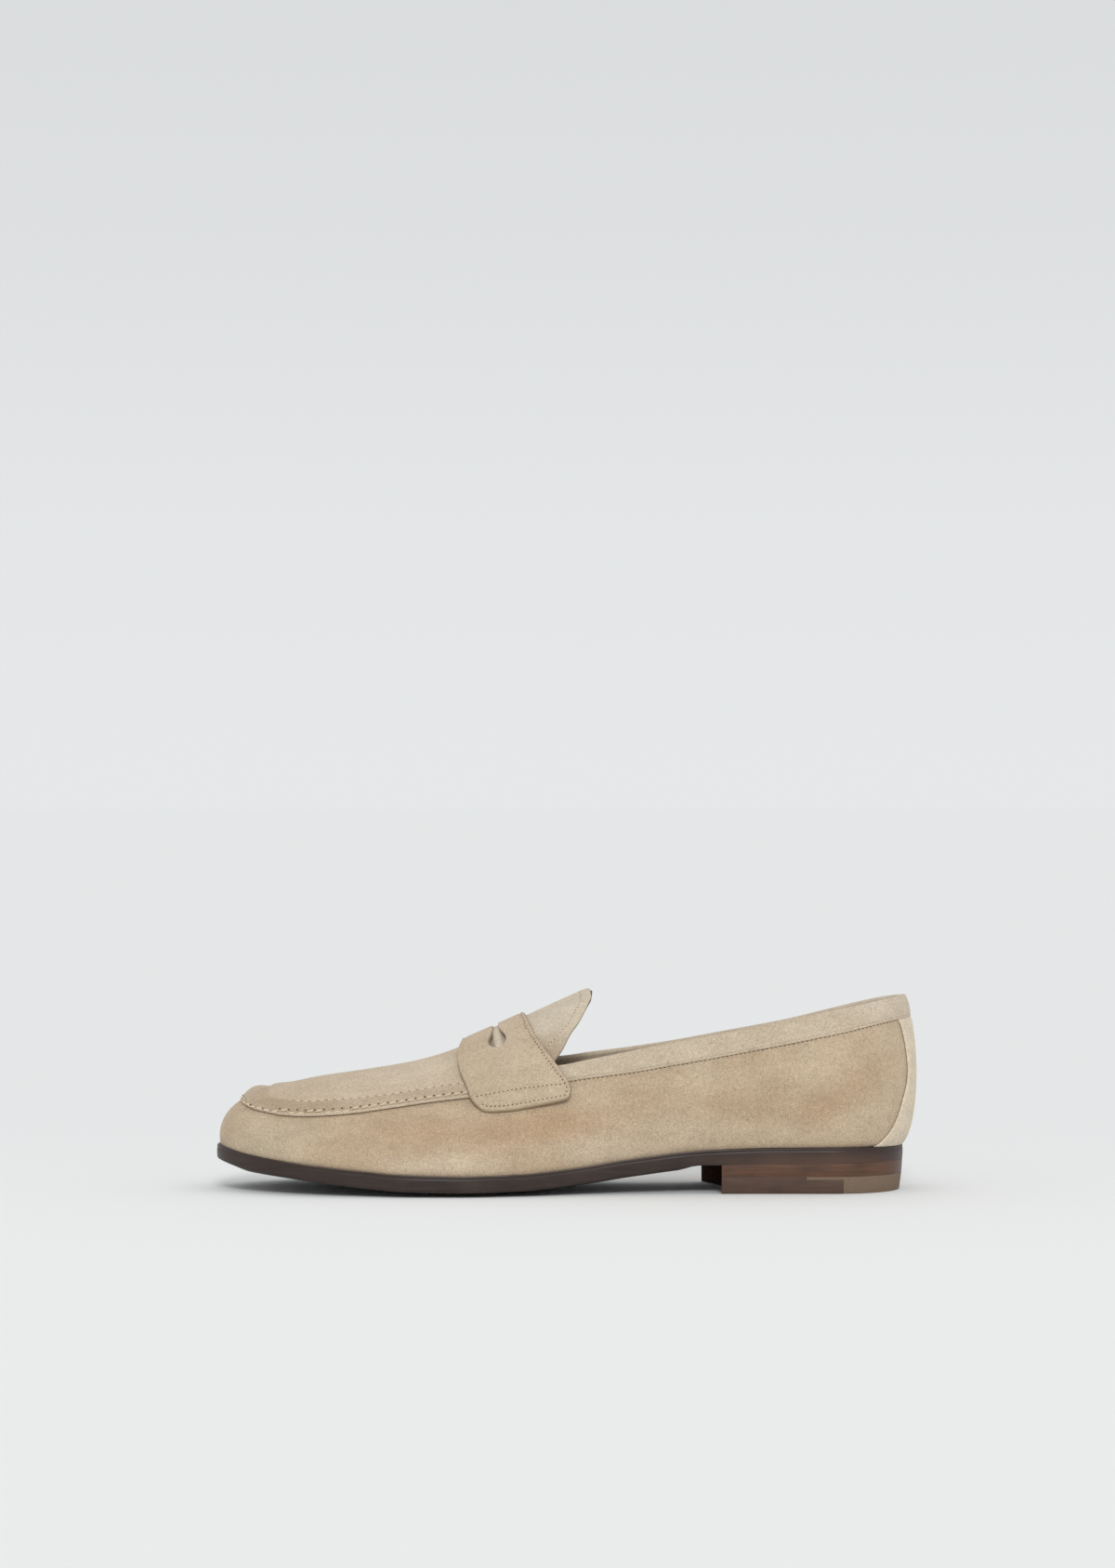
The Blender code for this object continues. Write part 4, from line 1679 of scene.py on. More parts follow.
        # Painted shade in the groove of the inner seam at the toe.
        worn += 0.12 * toe * swell(inset, seam, 1.5)
        return np.where(v < self.edge_share, self.lip_dark * under, 0.0) + worn * (1.0 - under)

    def tug(self, u: Array) -> Array:
        """How hard the thread pulls: 1 at a stitch, 0 between two.

        Args:
            u: shares of the way round.

        Returns:
            The pull.
        """
        ways = np.linspace(0.0, 1.0, 500)
        run = run_along(self.row_path(ways, self.inset_at("row", ways)))
        count = round(run[-1] / self.stitch.pitch)
        return 0.5 - 0.5 * np.cos(2 * math.pi * count * np.interp(u, ways, run) / run[-1])

    def row_path(self, u: Array, inset: float | Array) -> Array:
        """Points of a row at an inset from the lip, just over the surface.

        Args:
            u: shares of the way round.
            inset: distance from the lip.

        Returns:
            The points.
        """
        t, side = self.around(u)
        far = np.broadcast_to(np.asarray(inset, float), u.shape)
        h = self.heights_at(u, lambda _, chosen: far[chosen])
        return LAST.lifted(t, side, h, self.row_lift)

    def place(self, u: Array, v: Array) -> Array:
        """Points of the apron.

        Args:
            u: shares along the sheet.
            v: shares across it.

        Returns:
            The points.
        """
        t, side = self.around(u)
        inset = np.zeros_like(u)
        tug = self.tug(u)

        def spread(length: float, chosen: Array) -> Array:
            """Distances from the lip on one section, its edge drawn in by the stitches.

            Args:
                length: of the section.
                chosen: numbers of its points.

            Returns:
                The distances.
            """
            inset[chosen] = self.inset_of(v[chosen], length)
            return inset[chosen] + self.scallop * (1.0 - tug[chosen]) * swell(inset[chosen], 0.0, 1.1)

        h = self.heights_at(u, spread)
        return LAST.lifted(t, side, h, self.skin(inset, v, u))

    def build(self) -> None:
        """Make the apron and its two rows of stitches."""
        apron = lay_sheet("apron", self.columns, self.rows, self.place, self.shade)
        dress(apron, self.finishes[Stuff.APRON])
        thicken(apron, 0.3)
        hand_over(apron, Slot.SUEDE, "apron")
        ways = np.linspace(0.0, 1.0, 600)
        row = self.row_path(ways, self.inset_at("row", ways))
        self.needlework.sew("apron_stitches", apron, [row], self.stitch)
        seams = []
        for first, last in ((0.0, 1.0 - self.seam_stitch_start), (self.seam_stitch_start, 1.0)):
            part = np.linspace(first, last, 160)
            seams.append(self.row_path(part, self.inset_at("seam", part)))
        self.needlework.sew("apron_seam_stitches", apron, seams, self.fine_stitch)


class EdgePoint(NamedTuple):
    """Front and rear edge of a piece over the instep, at a height on the last."""

    h: float
    front: float
    rear: float


@dataclass
class Saddle:
    """The strap over the instep, with turned edges and a slot, and the tongue behind it."""

    finishes: Finishes
    needlework: Needlework
    columns: int = 40
    rows: int = 220
    thickness: float = 1.6
    foot_lift: float = 0.3
    full_lift: float = 2.3
    foot_z: float = 34.5
    clear_z: float = 40.0
    rim_gap: float = 0.45
    front_rim: float = 1.7
    rear_rim: float = 2.45
    rim_dark: float = 0.8
    edge_round: float = 1.05
    bead_rise: float = 0.15
    bead_inset: float = 1.0
    bead_width: float = 0.5
    seam_inset: float = 2.0
    seam_dip: float = 0.32
    seam_width: float = 0.45
    strap_wall: float = 0.35
    row_lift: float = 0.4
    foot_row_lift: float = 0.5
    row_start: float = 5.0
    row_front: float = 0.489
    row_rear: float = 0.462
    slot_centre: float = 0.54
    slot_reach: float = 0.42
    slot_edge: float = 0.1
    slot_round: float = 0.7
    slot_dark: float = 0.7
    slot_half_width: Curve = Curve(
        (0.0, 0.3, 0.5, 0.65, 0.76, 0.86, 0.93, 0.975, 1.0), (1.0, 1.2, 2.2, 3.2, 3.7, 3.4, 2.6, 1.6, 0.0)
    )
    slot_bulge: float = 2.2
    slot_hollow: float = 1.2
    foot_line: Curve = Curve(
        (0.0, 0.01, 0.034, 0.083, 0.183, 0.427, 0.68, 0.88, 0.94, 0.975, 0.992, 1.0),
        (0.50, 0.48, 0.453, 0.422, 0.406, 0.391, 0.391, 0.394, 0.403, 0.425, 0.445, 0.462),
    )
    tongue_top: float = 2.0
    tongue_wall: float = 1.1
    tongue_gap: float = 0.05
    tongue_droop: float = 0.9
    tongue_dark: float = 0.5
    tongue_lining_tip: float = 0.55
    tongue_lining_back: float = 0.5
    tongue_lining_wall: float = 0.55
    tongue_row: Curve = Curve((0.57, 0.668, 0.73, 0.82, 1.0), (8.0, 7.2, 4.9, 4.3, 4.0))
    strap_stitch: Thread = Thread(1.85, 0.9, 0.42, 1.0, 0.5, 8.0)
    tongue_stitch: Thread = Thread(2.0, 1.2, 0.36, 0.75, 0.3, 8.0)
    strap_edges: tuple[EdgePoint, ...] = (
        EdgePoint(0.38, -37.0, 4.2),
        EdgePoint(0.453, -38.9, 2.0),
        EdgePoint(0.49, -39.9, 0.3),
        EdgePoint(0.566, -41.8, -3.9),
        EdgePoint(0.673, -44.5, -9.5),
        EdgePoint(0.776, -45.5, -13.1),
        EdgePoint(0.88, -44.9, -15.2),
        EdgePoint(0.95, -43.8, -16.3),
        EdgePoint(1.0, -43.4, -16.6),
    )
    tongue_edges: tuple[EdgePoint, ...] = (
        EdgePoint(0.57, -18.0, -6.2),
        EdgePoint(0.594, -21.0, -4.4),
        EdgePoint(0.632, -26.0, -1.6),
        EdgePoint(0.704, -34.0, 1.9),
        EdgePoint(0.773, -37.0, 6.2),
        EdgePoint(0.854, -38.5, 9.3),
        EdgePoint(0.914, -39.0, 10.9),
        EdgePoint(1.0, -39.5, 10.4),
    )

    def on_last(
        self, edges: Sequence[EdgePoint], foot: Array, across: Array, way: Array
    ) -> tuple[Array, ...]:
        """Places between a front and a rear edge.

        Args:
            edges: the table of the piece.
            foot: height of its foot at each point.
            across: shares from the front to the rear edge.
            way: from -1 at the lateral foot over 0 at the ridge to 1 at the medial foot.

        Returns:
            Stations, sides and heights.
        """
        line = curves(edges)
        side = np.where(way < 0.0, LATERAL, MEDIAL)
        h = foot + (1.0 - foot) * (1.0 - np.abs(way))
        x = line["front"](h) + (line["rear"](h) - line["front"](h)) * across
        return LAST.station_where(side, h, x), side, h

    def on_strap(self, across: Array, way: Array) -> tuple[Array, ...]:
        """Stations, sides and heights of places on the strap."""
        return self.on_last(self.strap_edges, self.foot_line(across), across, way)

    def slot_half(self, way: Array) -> Array:
        """Half the slot's width as a share of the strap's: narrow on the ridge, wide at its round ends."""
        share = np.clip(np.abs(way) / self.slot_reach, 0.0, 1.0)
        return self.slot_half_width(share) / self.width_at(way)

    def lift(self, z: Array) -> Array:
        """How far the strap lies over the last: on the upper at its feet, over the tongue on top."""
        return self.foot_lift + (self.full_lift - self.foot_lift) * smooth_step(self.foot_z, self.clear_z, z)

    def strap_rim(self) -> tuple[Array, ...]:
        """The strap's outline on the last, once round: medial foot, rear edge, lateral foot, front edge.

        Returns:
            Stations, sides and heights.
        """
        ways, shares = np.linspace(-1.0, 1.0, 400), (1 - np.cos(np.linspace(0.0, math.pi, 200))) / 2
        across = np.concatenate((shares, 0 * ways + 1, shares[::-1], 0 * ways))
        way = np.concatenate((0 * shares + 1, ways[::-1], 0 * shares - 1, ways))
        return self.on_strap(across, way)

    def slot_rim(self) -> Array:
        """The edge of the slot once round, as points of the last.

        Returns:
            The points.
        """
        way = np.sin(np.linspace(-math.pi / 2, math.pi / 2, 200)) * self.slot_reach
        half = self.slot_half(way)
        front = LAST.surface(*self.on_strap(self.slot_centre - half, way))
        return np.concatenate((front, LAST.surface(*self.on_strap(self.slot_centre + half, way))[::-1]))

    def width_at(self, way: Array) -> Array:
        """Width of the strap."""
        front = LAST.surface(*self.on_strap(0.0 * way, way))
        return np.linalg.norm(LAST.surface(*self.on_strap(0.0 * way + 1.0, way)) - front, axis=1)

    def part_of_strap(self, first: float, last: float, u: Array, v: Array) -> tuple[Array, Array]:
        """Where the shares of a grid lie on the front or the rear part of the strap.

        Args:
            first: share of the width at which the part starts, outside the slot.
            last: share at which it ends.
            u: shares from the front to the rear of the part.
            v: shares from the lateral to the medial foot.

        Returns:
            Places across and along the strap, closer together at the edges.
        """
        way = -np.cos(math.pi * v) * 0.5 + (2.0 * v - 1.0) * 0.5
        half = self.slot_half(way)
        low = first + (half if first > 0.0 else 0.0)
        high = last - (half if last < 1.0 else 0.0)
        return low + (high - low) * (1 - np.cos(math.pi * u)) / 2, way

    def place_strap(self, first: float, last: float, u: Array, v: Array) -> Array:
        """Points of the front or the rear part of the strap, which meet past the slot's ends.

        Args:
            first: share of the width at which the part starts, outside the slot.
            last: share at which it ends.
            u: shares from the front to the rear of the part.
            v: shares from the lateral to the medial foot.

        Returns:
            The points.
        """
        outline, slot = LAST.surface(*self.strap_rim()), self.slot_rim()
        across, way = self.part_of_strap(first, last, u, v)
        t, side, h = self.on_strap(across, way)
        base = LAST.surface(t, side, h)
        inset, from_slot = distance_to(base, outline), distance_to(base, slot)
        lift = self.lift(base[:, 2])
        risen = (lift - self.foot_lift) / (self.full_lift - self.foot_lift)
        under = self.front_rim + (self.rear_rim - self.front_rim) * across
        rim = self.rim_gap + (under - self.rim_gap) * risen
        rim = np.where(from_slot < inset, lift + self.slot_edge, rim)
        edge = np.minimum(round_over(inset, self.edge_round), round_over(from_slot, self.slot_round))
        bead = self.bead_rise * swell(inset, self.bead_inset, self.bead_width)
        bead -= self.seam_dip * swell(inset, self.seam_inset, self.seam_width)
        height = rim + (lift + self.thickness - rim) * edge + bead * round_over(inset, 0.6)
        return base + height[:, None] * LAST.normal(t, side, h)

    def shade_strap(self, first: float, last: float, u: Array, v: Array) -> Array:
        """How much painted shade the walls of the slot and the rim of the strap take, in one of its parts.

        Args:
            first: share of the width at which the part starts, outside the slot.
            last: share at which it ends.
            u: shares from the front to the rear of the part.
            v: shares from the lateral to the medial foot.

        Returns:
            The darkness of each point.
        """
        outline, slot = LAST.surface(*self.strap_rim()), self.slot_rim()
        base = LAST.surface(*self.on_strap(*self.part_of_strap(first, last, u, v)))
        # Painted shade on the slot's walls and a painted shadow line along the strap's rim.
        wall = smooth_step(0.45, 0.0, distance_to(base, slot))
        rim = smooth_step(0.4, 0.05, distance_to(base, outline))
        return np.maximum(self.slot_dark * wall, self.rim_dark * rim)

    def over_strap(self, t: Array, side: Array, h: Array) -> Array:
        """Points just over the strap's face."""
        height = self.lift(LAST.surface(t, side, h)[:, 2]) + self.thickness + self.foot_row_lift
        return LAST.lifted(t, side, h, height)

    def strap_rows(self) -> list[Array]:
        """Rows of stitches: inside the rear edge and both feet, and straight over the feet.

        Returns:
            The points of each row.
        """
        t, side, h = self.strap_rim()
        outline = LAST.surface(t, side, h)
        run = run_along(outline)
        front = run[-400] - self.row_start
        places = np.linspace(self.row_start, front, 500)
        rise = self.lift(outline[:, 2:]) + self.thickness + self.row_lift
        row, normal, height = (
            np.stack([np.interp(places, run, part) for part in values.T], axis=1)
            for values in (outline, LAST.normal(t, side, h), rise)
        )
        ahead = unit(row[4:] - row[:-4])
        inward = unit(np.cross(ahead, normal[2:-2]))
        rows = [row[2:-2] + self.seam_inset * inward + height[2:-2] * unit(normal[2:-2])]
        across = np.linspace(0.05, 0.95, 50)
        line = curves(self.strap_edges)
        for sign in (LATERAL, MEDIAL):
            h = self.row_front + (self.row_rear - self.row_front) * across
            x = line["front"](h) + (line["rear"](h) - line["front"](h)) * across
            side = np.full_like(h, sign)
            rows.append(self.over_strap(LAST.station_where(side, h, x), side, h))
        return rows

    def place_tongue(self, top: float, tip: float, back: float, u: Array, v: Array) -> Array:
        """Points of a layer of the tongue, with a soft ridge that shows in the strap's slot.

        Args:
            top: how far its outer face stands off the last.
            tip: how far its rear edge reaches past the suede's on the ridge.
            back: how far it stays behind the suede's elsewhere.
            u: shares from its front to its rear edge.
            v: shares from the lateral to the medial foot.

        Returns:
            The points.
        """
        line = curves(self.tongue_edges)
        foot = self.tongue_edges[0].h
        way = 2.0 * v - 1.0
        h = foot + (1.0 - foot) * (1.0 - np.abs(way))
        grow = (tip + back) * swell(way, 0.0, 0.14) - back
        across = u * (1.0 + grow / (line["rear"](h) - line["front"](h)))
        t, side, h = self.on_last(self.tongue_edges, 0.0 * u + foot, across, way)
        away = self.from_slot_line(LAST.surface(t, side, h))
        ridge = self.slot_bulge * swell(away**2, 0.0, 4.6) - self.slot_hollow * swell(away, 0.0, 4.8)
        droop = self.tongue_droop * (1.0 - round_over((1.0 - u) * 45.0, 3.0)) * smooth_step(0.8, 0.95, h)
        return LAST.lifted(t, side, h, top + ridge - droop)

    def from_slot_line(self, points: Array) -> Array:
        """Distance of points of the last from the middle line of the slot.

        Args:
            points: the points.

        Returns:
            The distances.
        """
        ways = np.linspace(-0.4, 0.4, 80)
        line = LAST.surface(*self.on_strap(np.full(80, self.slot_centre), ways))
        return distance_to(points, np.concatenate((line, line[::-1])))

    def shade_tongue(self, u: Array, v: Array) -> Array:
        """Painted shade in the crevices beside the ridge in the slot.

        Args:
            u: shares along the sheet.
            v: shares across it.

        Returns:
            How much painted shade the points take.
        """
        foot = self.tongue_edges[0].h
        points = LAST.surface(*self.on_last(self.tongue_edges, 0.0 * u + foot, u, 2.0 * v - 1.0))
        # Painted shade in the crevices on both sides of the ridge.
        return self.tongue_dark * swell(self.from_slot_line(points), 3.4, 0.8)

    def tongue_path(self) -> Array:
        """The row of stitches inside the tongue's rear edge.

        Returns:
            Its points.
        """
        way = np.linspace(-0.93, 0.93, 200)
        line = curves(self.tongue_edges)
        foot = self.tongue_edges[0].h
        h = foot + (1.0 - foot) * (1.0 - np.abs(way))
        across = 1.0 - self.tongue_row(h) / (line["rear"](h) - line["front"](h))
        t, side, h = self.on_last(self.tongue_edges, 0.0 * way + foot, across, way)
        return LAST.lifted(t, side, h, self.tongue_top + 1.0)

    def build(self) -> None:
        """Make the tongue, the strap and their stitches."""
        suede = partial(self.place_tongue, self.tongue_top, 0.0, 0.0)
        tongue = lay_sheet("tongue", 100, 160, suede, self.shade_tongue)
        dress(tongue, self.finishes[Stuff.TONGUE])
        thicken(tongue, self.tongue_wall)
        soften(tongue, 0.35)
        hand_over(tongue, Slot.SUEDE, "tongue")
        below = self.tongue_top - self.tongue_wall - self.tongue_gap
        layer = partial(self.place_tongue, below, self.tongue_lining_tip, self.tongue_lining_back)
        under = lay_sheet("tongue_lining", 60, 120, layer)
        dress(under, self.finishes[Stuff.TONGUE_LINING])
        thicken(under, self.tongue_lining_wall)
        soften(under, 0.15)
        hand_over(under, Slot.SOCK)
        self.needlework.sew("tongue_stitches", tongue, [self.tongue_path()], self.tongue_stitch)
        strap, rear = (
            lay_sheet(
                name,
                self.columns,
                self.rows,
                partial(self.place_strap, *part),
                partial(self.shade_strap, *part),
            )
            for name, part in (
                ("saddle_strap", (0.0, self.slot_centre)),
                ("saddle_strap_rear", (self.slot_centre, 1.0)),
            )
        )
        pick(strap)
        rear.select_set(True)
        bpy.ops.object.join()
        weld(strap)
        dress(strap, self.finishes[Stuff.STRAP])
        thicken(strap, self.strap_wall)
        hand_over(strap, Slot.SUEDE, "saddle_strap")
        self.needlework.sew("strap_stitches", strap, self.strap_rows(), self.strap_stitch)


class EdgeThickness(NamedTuple):
    """Thickness of the sole's edge along the foot."""

    x: float
    thickness: float


@dataclass
class Bottom:
    """Outsole, insole and heel."""

    finishes: Finishes
    stations: int = 150
    gap: float = 0.05
    rim_toe: float = 1.3
    rim_heel: float = 2.3
    edge_drop: float = 0.3
    edge_bow: float = 0.16
    edge_round: float = 0.55
    edge_inset: float = 0.5
    belly: float = 2.7
    toe_reach: float = 14.0
    bevel: float = 0.8
    bevel_height: float = 1.0
    waist_x: float = 47.0
    seat_front: float = 11.9
    seat_rear: float = 12.9
    seat_raise: float = 0.2
    breast_lateral_x: float = 65.0
    breast_medial_x: float = 58.5
    breast_hollow: float = 6.0
    breast_end_x: float = 80.0
    heel_taper: float = 1.4
    slab_height: float = 7.2
    joint: float = 0.03
    clearance: float = 0.1
    tip_front_x: float = 116.2
    shelf_front_x: float = 100.7
    shelf_z: float = 5.85
    tip_slack: float = 0.06
    half_block: float = 60.0
    insole_thickness: float = 3.0
    insole_inset: float = 2.6
    insole_round: float = 0.7
    insole_hollow: float = 0.6
    iron_depth: float = 1.25
    iron_dent: float = 0.22
    iron_width: float = 0.2
    bead: float = 0.26
    bead_least: float = 0.04
    bead_inset: float = 0.35
    bead_drop: float = 0.15
    bead_end_x: float = 80.0
    bead_fade_heel: float = 30.0
    bead_fade_toe: float = 40.0
    edge: tuple[EdgeThickness, ...] = (
        EdgeThickness(-149, 5.9),
        EdgeThickness(-140, 6.2),
        EdgeThickness(-125, 6.2),
        EdgeThickness(-105, 6.4),
        EdgeThickness(-75, 6.8),
        EdgeThickness(0, 6.6),
        EdgeThickness(142, 6.4),
    )

    def __post_init__(self) -> None:
        """Read the edge table."""
        self.thickness = curves(self.edge)["thickness"]

    def seat(self, x: Array) -> Array:
        """Height of the joint between the sole and the heel."""
        share = (x - self.breast_medial_x) / (LAST.heel_x - self.breast_medial_x)
        return self.seat_front + (self.seat_rear - self.seat_front) * share

    def sole_floor(self, point: Array, across: Array) -> Array:
        """Height of the sole's underside: bellied at the ball, flat on the heel.

        Args:
            point: places on the outline or between its sides.
            across: from -1 at the medial edge to 1 at the lateral one.

        Returns:
            The heights, just over the floor where the sole stands on it.
        """
        x, y = point[:, 0], point[:, 1]
        edge = LAST.feather_height(x, y) - self.edge_drop - self.thickness(x)
        ends = smooth_step(LAST.toe_x, LAST.toe_x + self.toe_reach, x)
        bellied = np.maximum(edge - self.belly * ends * (1.0 - across * across), self.clearance)
        seat = self.seat(x) + self.seat_raise + self.joint
        return bellied + (seat - bellied) * smooth_step(self.waist_x, self.breast_medial_x, x)

    def loop(self, v: Array) -> tuple[Array, Array, Array]:
        """A way round a cross-section: top, lateral wall, bottom, medial wall and top again.

        Args:
            v: shares of the way.

        Returns:
            Places across (1 lateral, -1 medial), depth shares of the wall, and whether a point is below.
        """
        across = np.interp(v, (0.0, 0.12, 0.36, 0.64, 0.88, 1.0), (0.0, 1.0, 1.0, -1.0, -1.0, 0.0))
        depth = np.interp(v, (0.0, 0.12, 0.36, 0.64, 0.88, 1.0), (0.0, 0.0, 1.0, 1.0, 0.0, 0.0))
        return across, depth, (v > 0.36) & (v < 0.64)

    def rim(self, t: Array) -> Array:
        """How far the sole's edge stands out past the feather line."""
        return self.rim_heel + (self.rim_toe - self.rim_heel) * t

    def place_sole(self, u: Array, v: Array) -> Array:
        """Points of the outsole, with the line of the edge iron under its upper edge.

        Args:
            u: shares along the sheet.
            v: shares across it.

        Returns:
            The points.
        """
        across, depth, below = self.loop(v)
        rim = self.rim(u)
        bevel = self.bevel * smooth_step(self.breast_lateral_x, self.waist_x, LAST.station_x(u))
        flush = np.where(depth > 0.0, rim, rim - self.edge_inset)
        sides = [LAST.feather(u, np.full_like(u, side), flush) for side in (MEDIAL, LATERAL)]
        lows = [LAST.feather(u, np.full_like(u, side), rim - bevel) for side in (MEDIAL, LATERAL)]
        share = ((1.0 + across) / 2)[:, None]
        wide = sides[0] + (sides[1] - sides[0]) * share
        narrow = lows[0] + (lows[1] - lows[0]) * share
        top = LAST.feather_height(wide[:, 0], wide[:, 1]) - self.gap
        floor = self.sole_floor(narrow, across)
        drop = (top - floor) * depth
        end = np.clip((drop - (top - floor) + self.bevel_height) / self.bevel_height, 0.0, 1.0)
        bow = self.edge_bow * np.sin(math.pi * depth)
        grow = bow - self.iron_dent * swell(drop, self.iron_depth, self.iron_width)
        grow -= self.edge_inset * (1.0 - round_over(drop, self.edge_round))
        grow -= bevel * (1.0 - np.sqrt(1.0 - end**2))
        grow = np.where((depth > 0.0) & (depth < 1.0), grow, np.where(depth > 0.0, -bevel, 0.0))
        grow = np.where(np.abs(across) == 1.0, grow, 0.0)
        out = LAST.outward(u, np.where(across < 0.0, MEDIAL, LATERAL)) * grow[:, None]
        plan = np.where(below[:, None], narrow[:, :2], wide[:, :2] + out)
        return np.concatenate((plan, (top - drop)[:, None]), axis=1)

    def make_bead(self) -> Piece:
        """The lighter bead on the sole's upper edge, which runs out at the toe and the heel.

        Returns:
            The bead.
        """
        way = np.linspace(-1.0, 1.0, 500)
        t = 1.0 - np.abs(way) * (1.0 - LAST.station_at(self.bead_end_x))
        side = np.where(way < 0.0, LATERAL, MEDIAL)
        path = LAST.feather(t, side, self.rim(t) - self.bead_inset)
        path[:, 2] -= self.gap + self.bead_drop
        out = LAST.outward(t, side)
        x = LAST.station_x(t)
        # How full the lighter bead stands: whole along the waist, thinning to the heel and the toe.
        worn = smooth_step(self.bead_end_x, self.bead_end_x - self.bead_fade_heel, x)
        worn *= smooth_step(LAST.toe_x, LAST.toe_x + self.bead_fade_toe, x)
        normals = unit(np.concatenate((out, np.ones((len(t), 1))), axis=1))
        return lay_tube("edge_bead", path, normals, self.bead_least + self.bead * worn, 8)

    def place_insole(self, u: Array, v: Array) -> Array:
        """Points of the insole with its sock, a little hollow along the middle.

        Args:
            u: shares along the sheet.
            v: shares across it.

        Returns:
            The points.
        """
        across, depth, _ = self.loop(v)
        drop = self.insole_thickness * depth
        rounded = self.insole_round * (1.0 - round_over(drop, self.insole_round))
        grow = -self.insole_inset - rounded * (np.abs(across) == 1.0)
        sides = [LAST.feather(u, np.full_like(u, side), grow) for side in (MEDIAL, LATERAL)]
        point = sides[0] + (sides[1] - sides[0]) * ((1.0 + across) / 2)[:, None]
        hollow = self.insole_hollow * (1.0 - across**2) * (1.0 - depth)
        z = LAST.feather_height(point[:, 0], point[:, 1]) + self.insole_thickness - drop - hollow
        return np.concatenate((point[:, :2], z[:, None]), axis=1)

    def heel_outline(self, count: int, height: Callable[[Array], Array]) -> Array:
        """The heel's outline, from the lateral breast corner round the back and along the breast.

        Args:
            count: how many points.
            height: gives the height of the outline at x.

        Returns:
            The points in order.
        """
        round_count = count * 3 // 4
        ends = (LAST.station_at(self.breast_lateral_x), LAST.station_at(self.breast_medial_x))
        way = np.linspace(-ends[0], ends[1], round_count)
        t, side = np.abs(way), np.where(way < 0.0, LATERAL, MEDIAL)
        z = height(LAST.station_x(t))
        grow = self.rim(t) - self.heel_taper * np.clip(1.0 - z / self.seat_rear, 0.0, 1.0) ** 1.5
        back = LAST.feather(t, side, grow)
        back[:, 2] = z
        share = np.linspace(0.0, 1.0, count - round_count + 2)[1:-1, None]
        breast = back[-1] + (back[0] - back[-1]) * share
        breast[:, 0] += self.breast_hollow * (1.0 - (2.0 * share[:, 0] - 1.0) ** 2)
        breast[:, 2] = height(breast[:, 0])
        return np.concatenate((back, breast))

    @staticmethod
    def level(z: float) -> Callable[[Array], Array]:
        """A height that is the same at every x."""
        return lambda x: 0 * x + z

    def make_slab(self, name: str, low: Callable[[Array], Array], high: Callable[[Array], Array]) -> Piece:
        """A layer of the heel: its outline filled, then drawn up.

        Args:
            name: of the piece.
            low: gives its lower height at x.
            high: gives its upper height at x.

        Returns:
            The new piece.
        """
        count = 160
        deselect_all()
        bpy.ops.mesh.primitive_circle_add(vertices=count, radius=1.0, fill_type="NGON")
        slab = bpy.context.active_object
        slab.name = slab.data.name = name
        draw_out(slab, (0.0, 0.0, 1.0))
        write_points(slab, np.concatenate((self.heel_outline(count, low), self.heel_outline(count, high))))
        face_outward(slab)
        return slab

    def make_step(self, slack: float) -> Piece:
        """A block in front of the rubber tip, stepped under its shelf, to cut the heel with.

        Args:
            slack: how far it stands off the tip.

        Returns:
            The block.
        """
        deselect_all()
        bpy.ops.mesh.primitive_grid_add(x_subdivisions=2, y_subdivisions=2, size=1.0)
        block = bpy.context.active_object
        flat = read_points(block)
        xs = np.array((40.0, self.shelf_front_x - slack, self.tip_front_x - slack))
        zs = np.array((-5.0, self.shelf_z - slack, 30.0))
        column, row = np.rint((flat[:, :2].T + 0.5) * 2).astype(int)
        write_points(block, np.stack((xs[column], np.full(len(flat), -self.half_block), zs[row]), axis=1))
        pick(block)
        bpy.ops.object.mode_set(mode="EDIT")
        bpy.ops.mesh.select_mode(type="FACE")
        bpy.ops.mesh.select_all(action="DESELECT")
        bpy.ops.object.mode_set(mode="OBJECT")
        for face in block.data.polygons:
            face.select = face.center.x > self.shelf_front_x * MM and face.center.z > self.shelf_z * MM
        bpy.ops.object.mode_set(mode="EDIT")
        bpy.ops.mesh.delete(type="FACE")
        bpy.ops.object.mode_set(mode="OBJECT")
        draw_out(block, (0.0, 2.0 * self.half_block * MM, 0.0))
        face_outward(block)
        return block

    def cut_slab(self, slab: Piece, operation: str, slack: float) -> None:
        """Cut a slab with the stepped block.

        Args:
            slab: the layer to cut.
            operation: DIFFERENCE keeps the tip, INTERSECT the leather in front of it.
            slack: how far the block stands off the tip.
        """
        block = self.make_step(slack)
        apply_modifier(slab, "BOOLEAN", operation=operation, object=block, solver="EXACT")
        bpy.data.objects.remove(block, do_unlink=True)

    def paint_breast_shade(self, slab: Piece) -> None:
        """Paint shade on the front face of a slab: a dark matt finish.

        Args:
            slab: a layer of the heel.
        """
        dress(slab, self.finishes[Stuff.BREAST])
        for face in slab.data.polygons:
            face.material_index = int(face.normal.x < -0.5 and face.center.x < self.breast_end_x * MM)

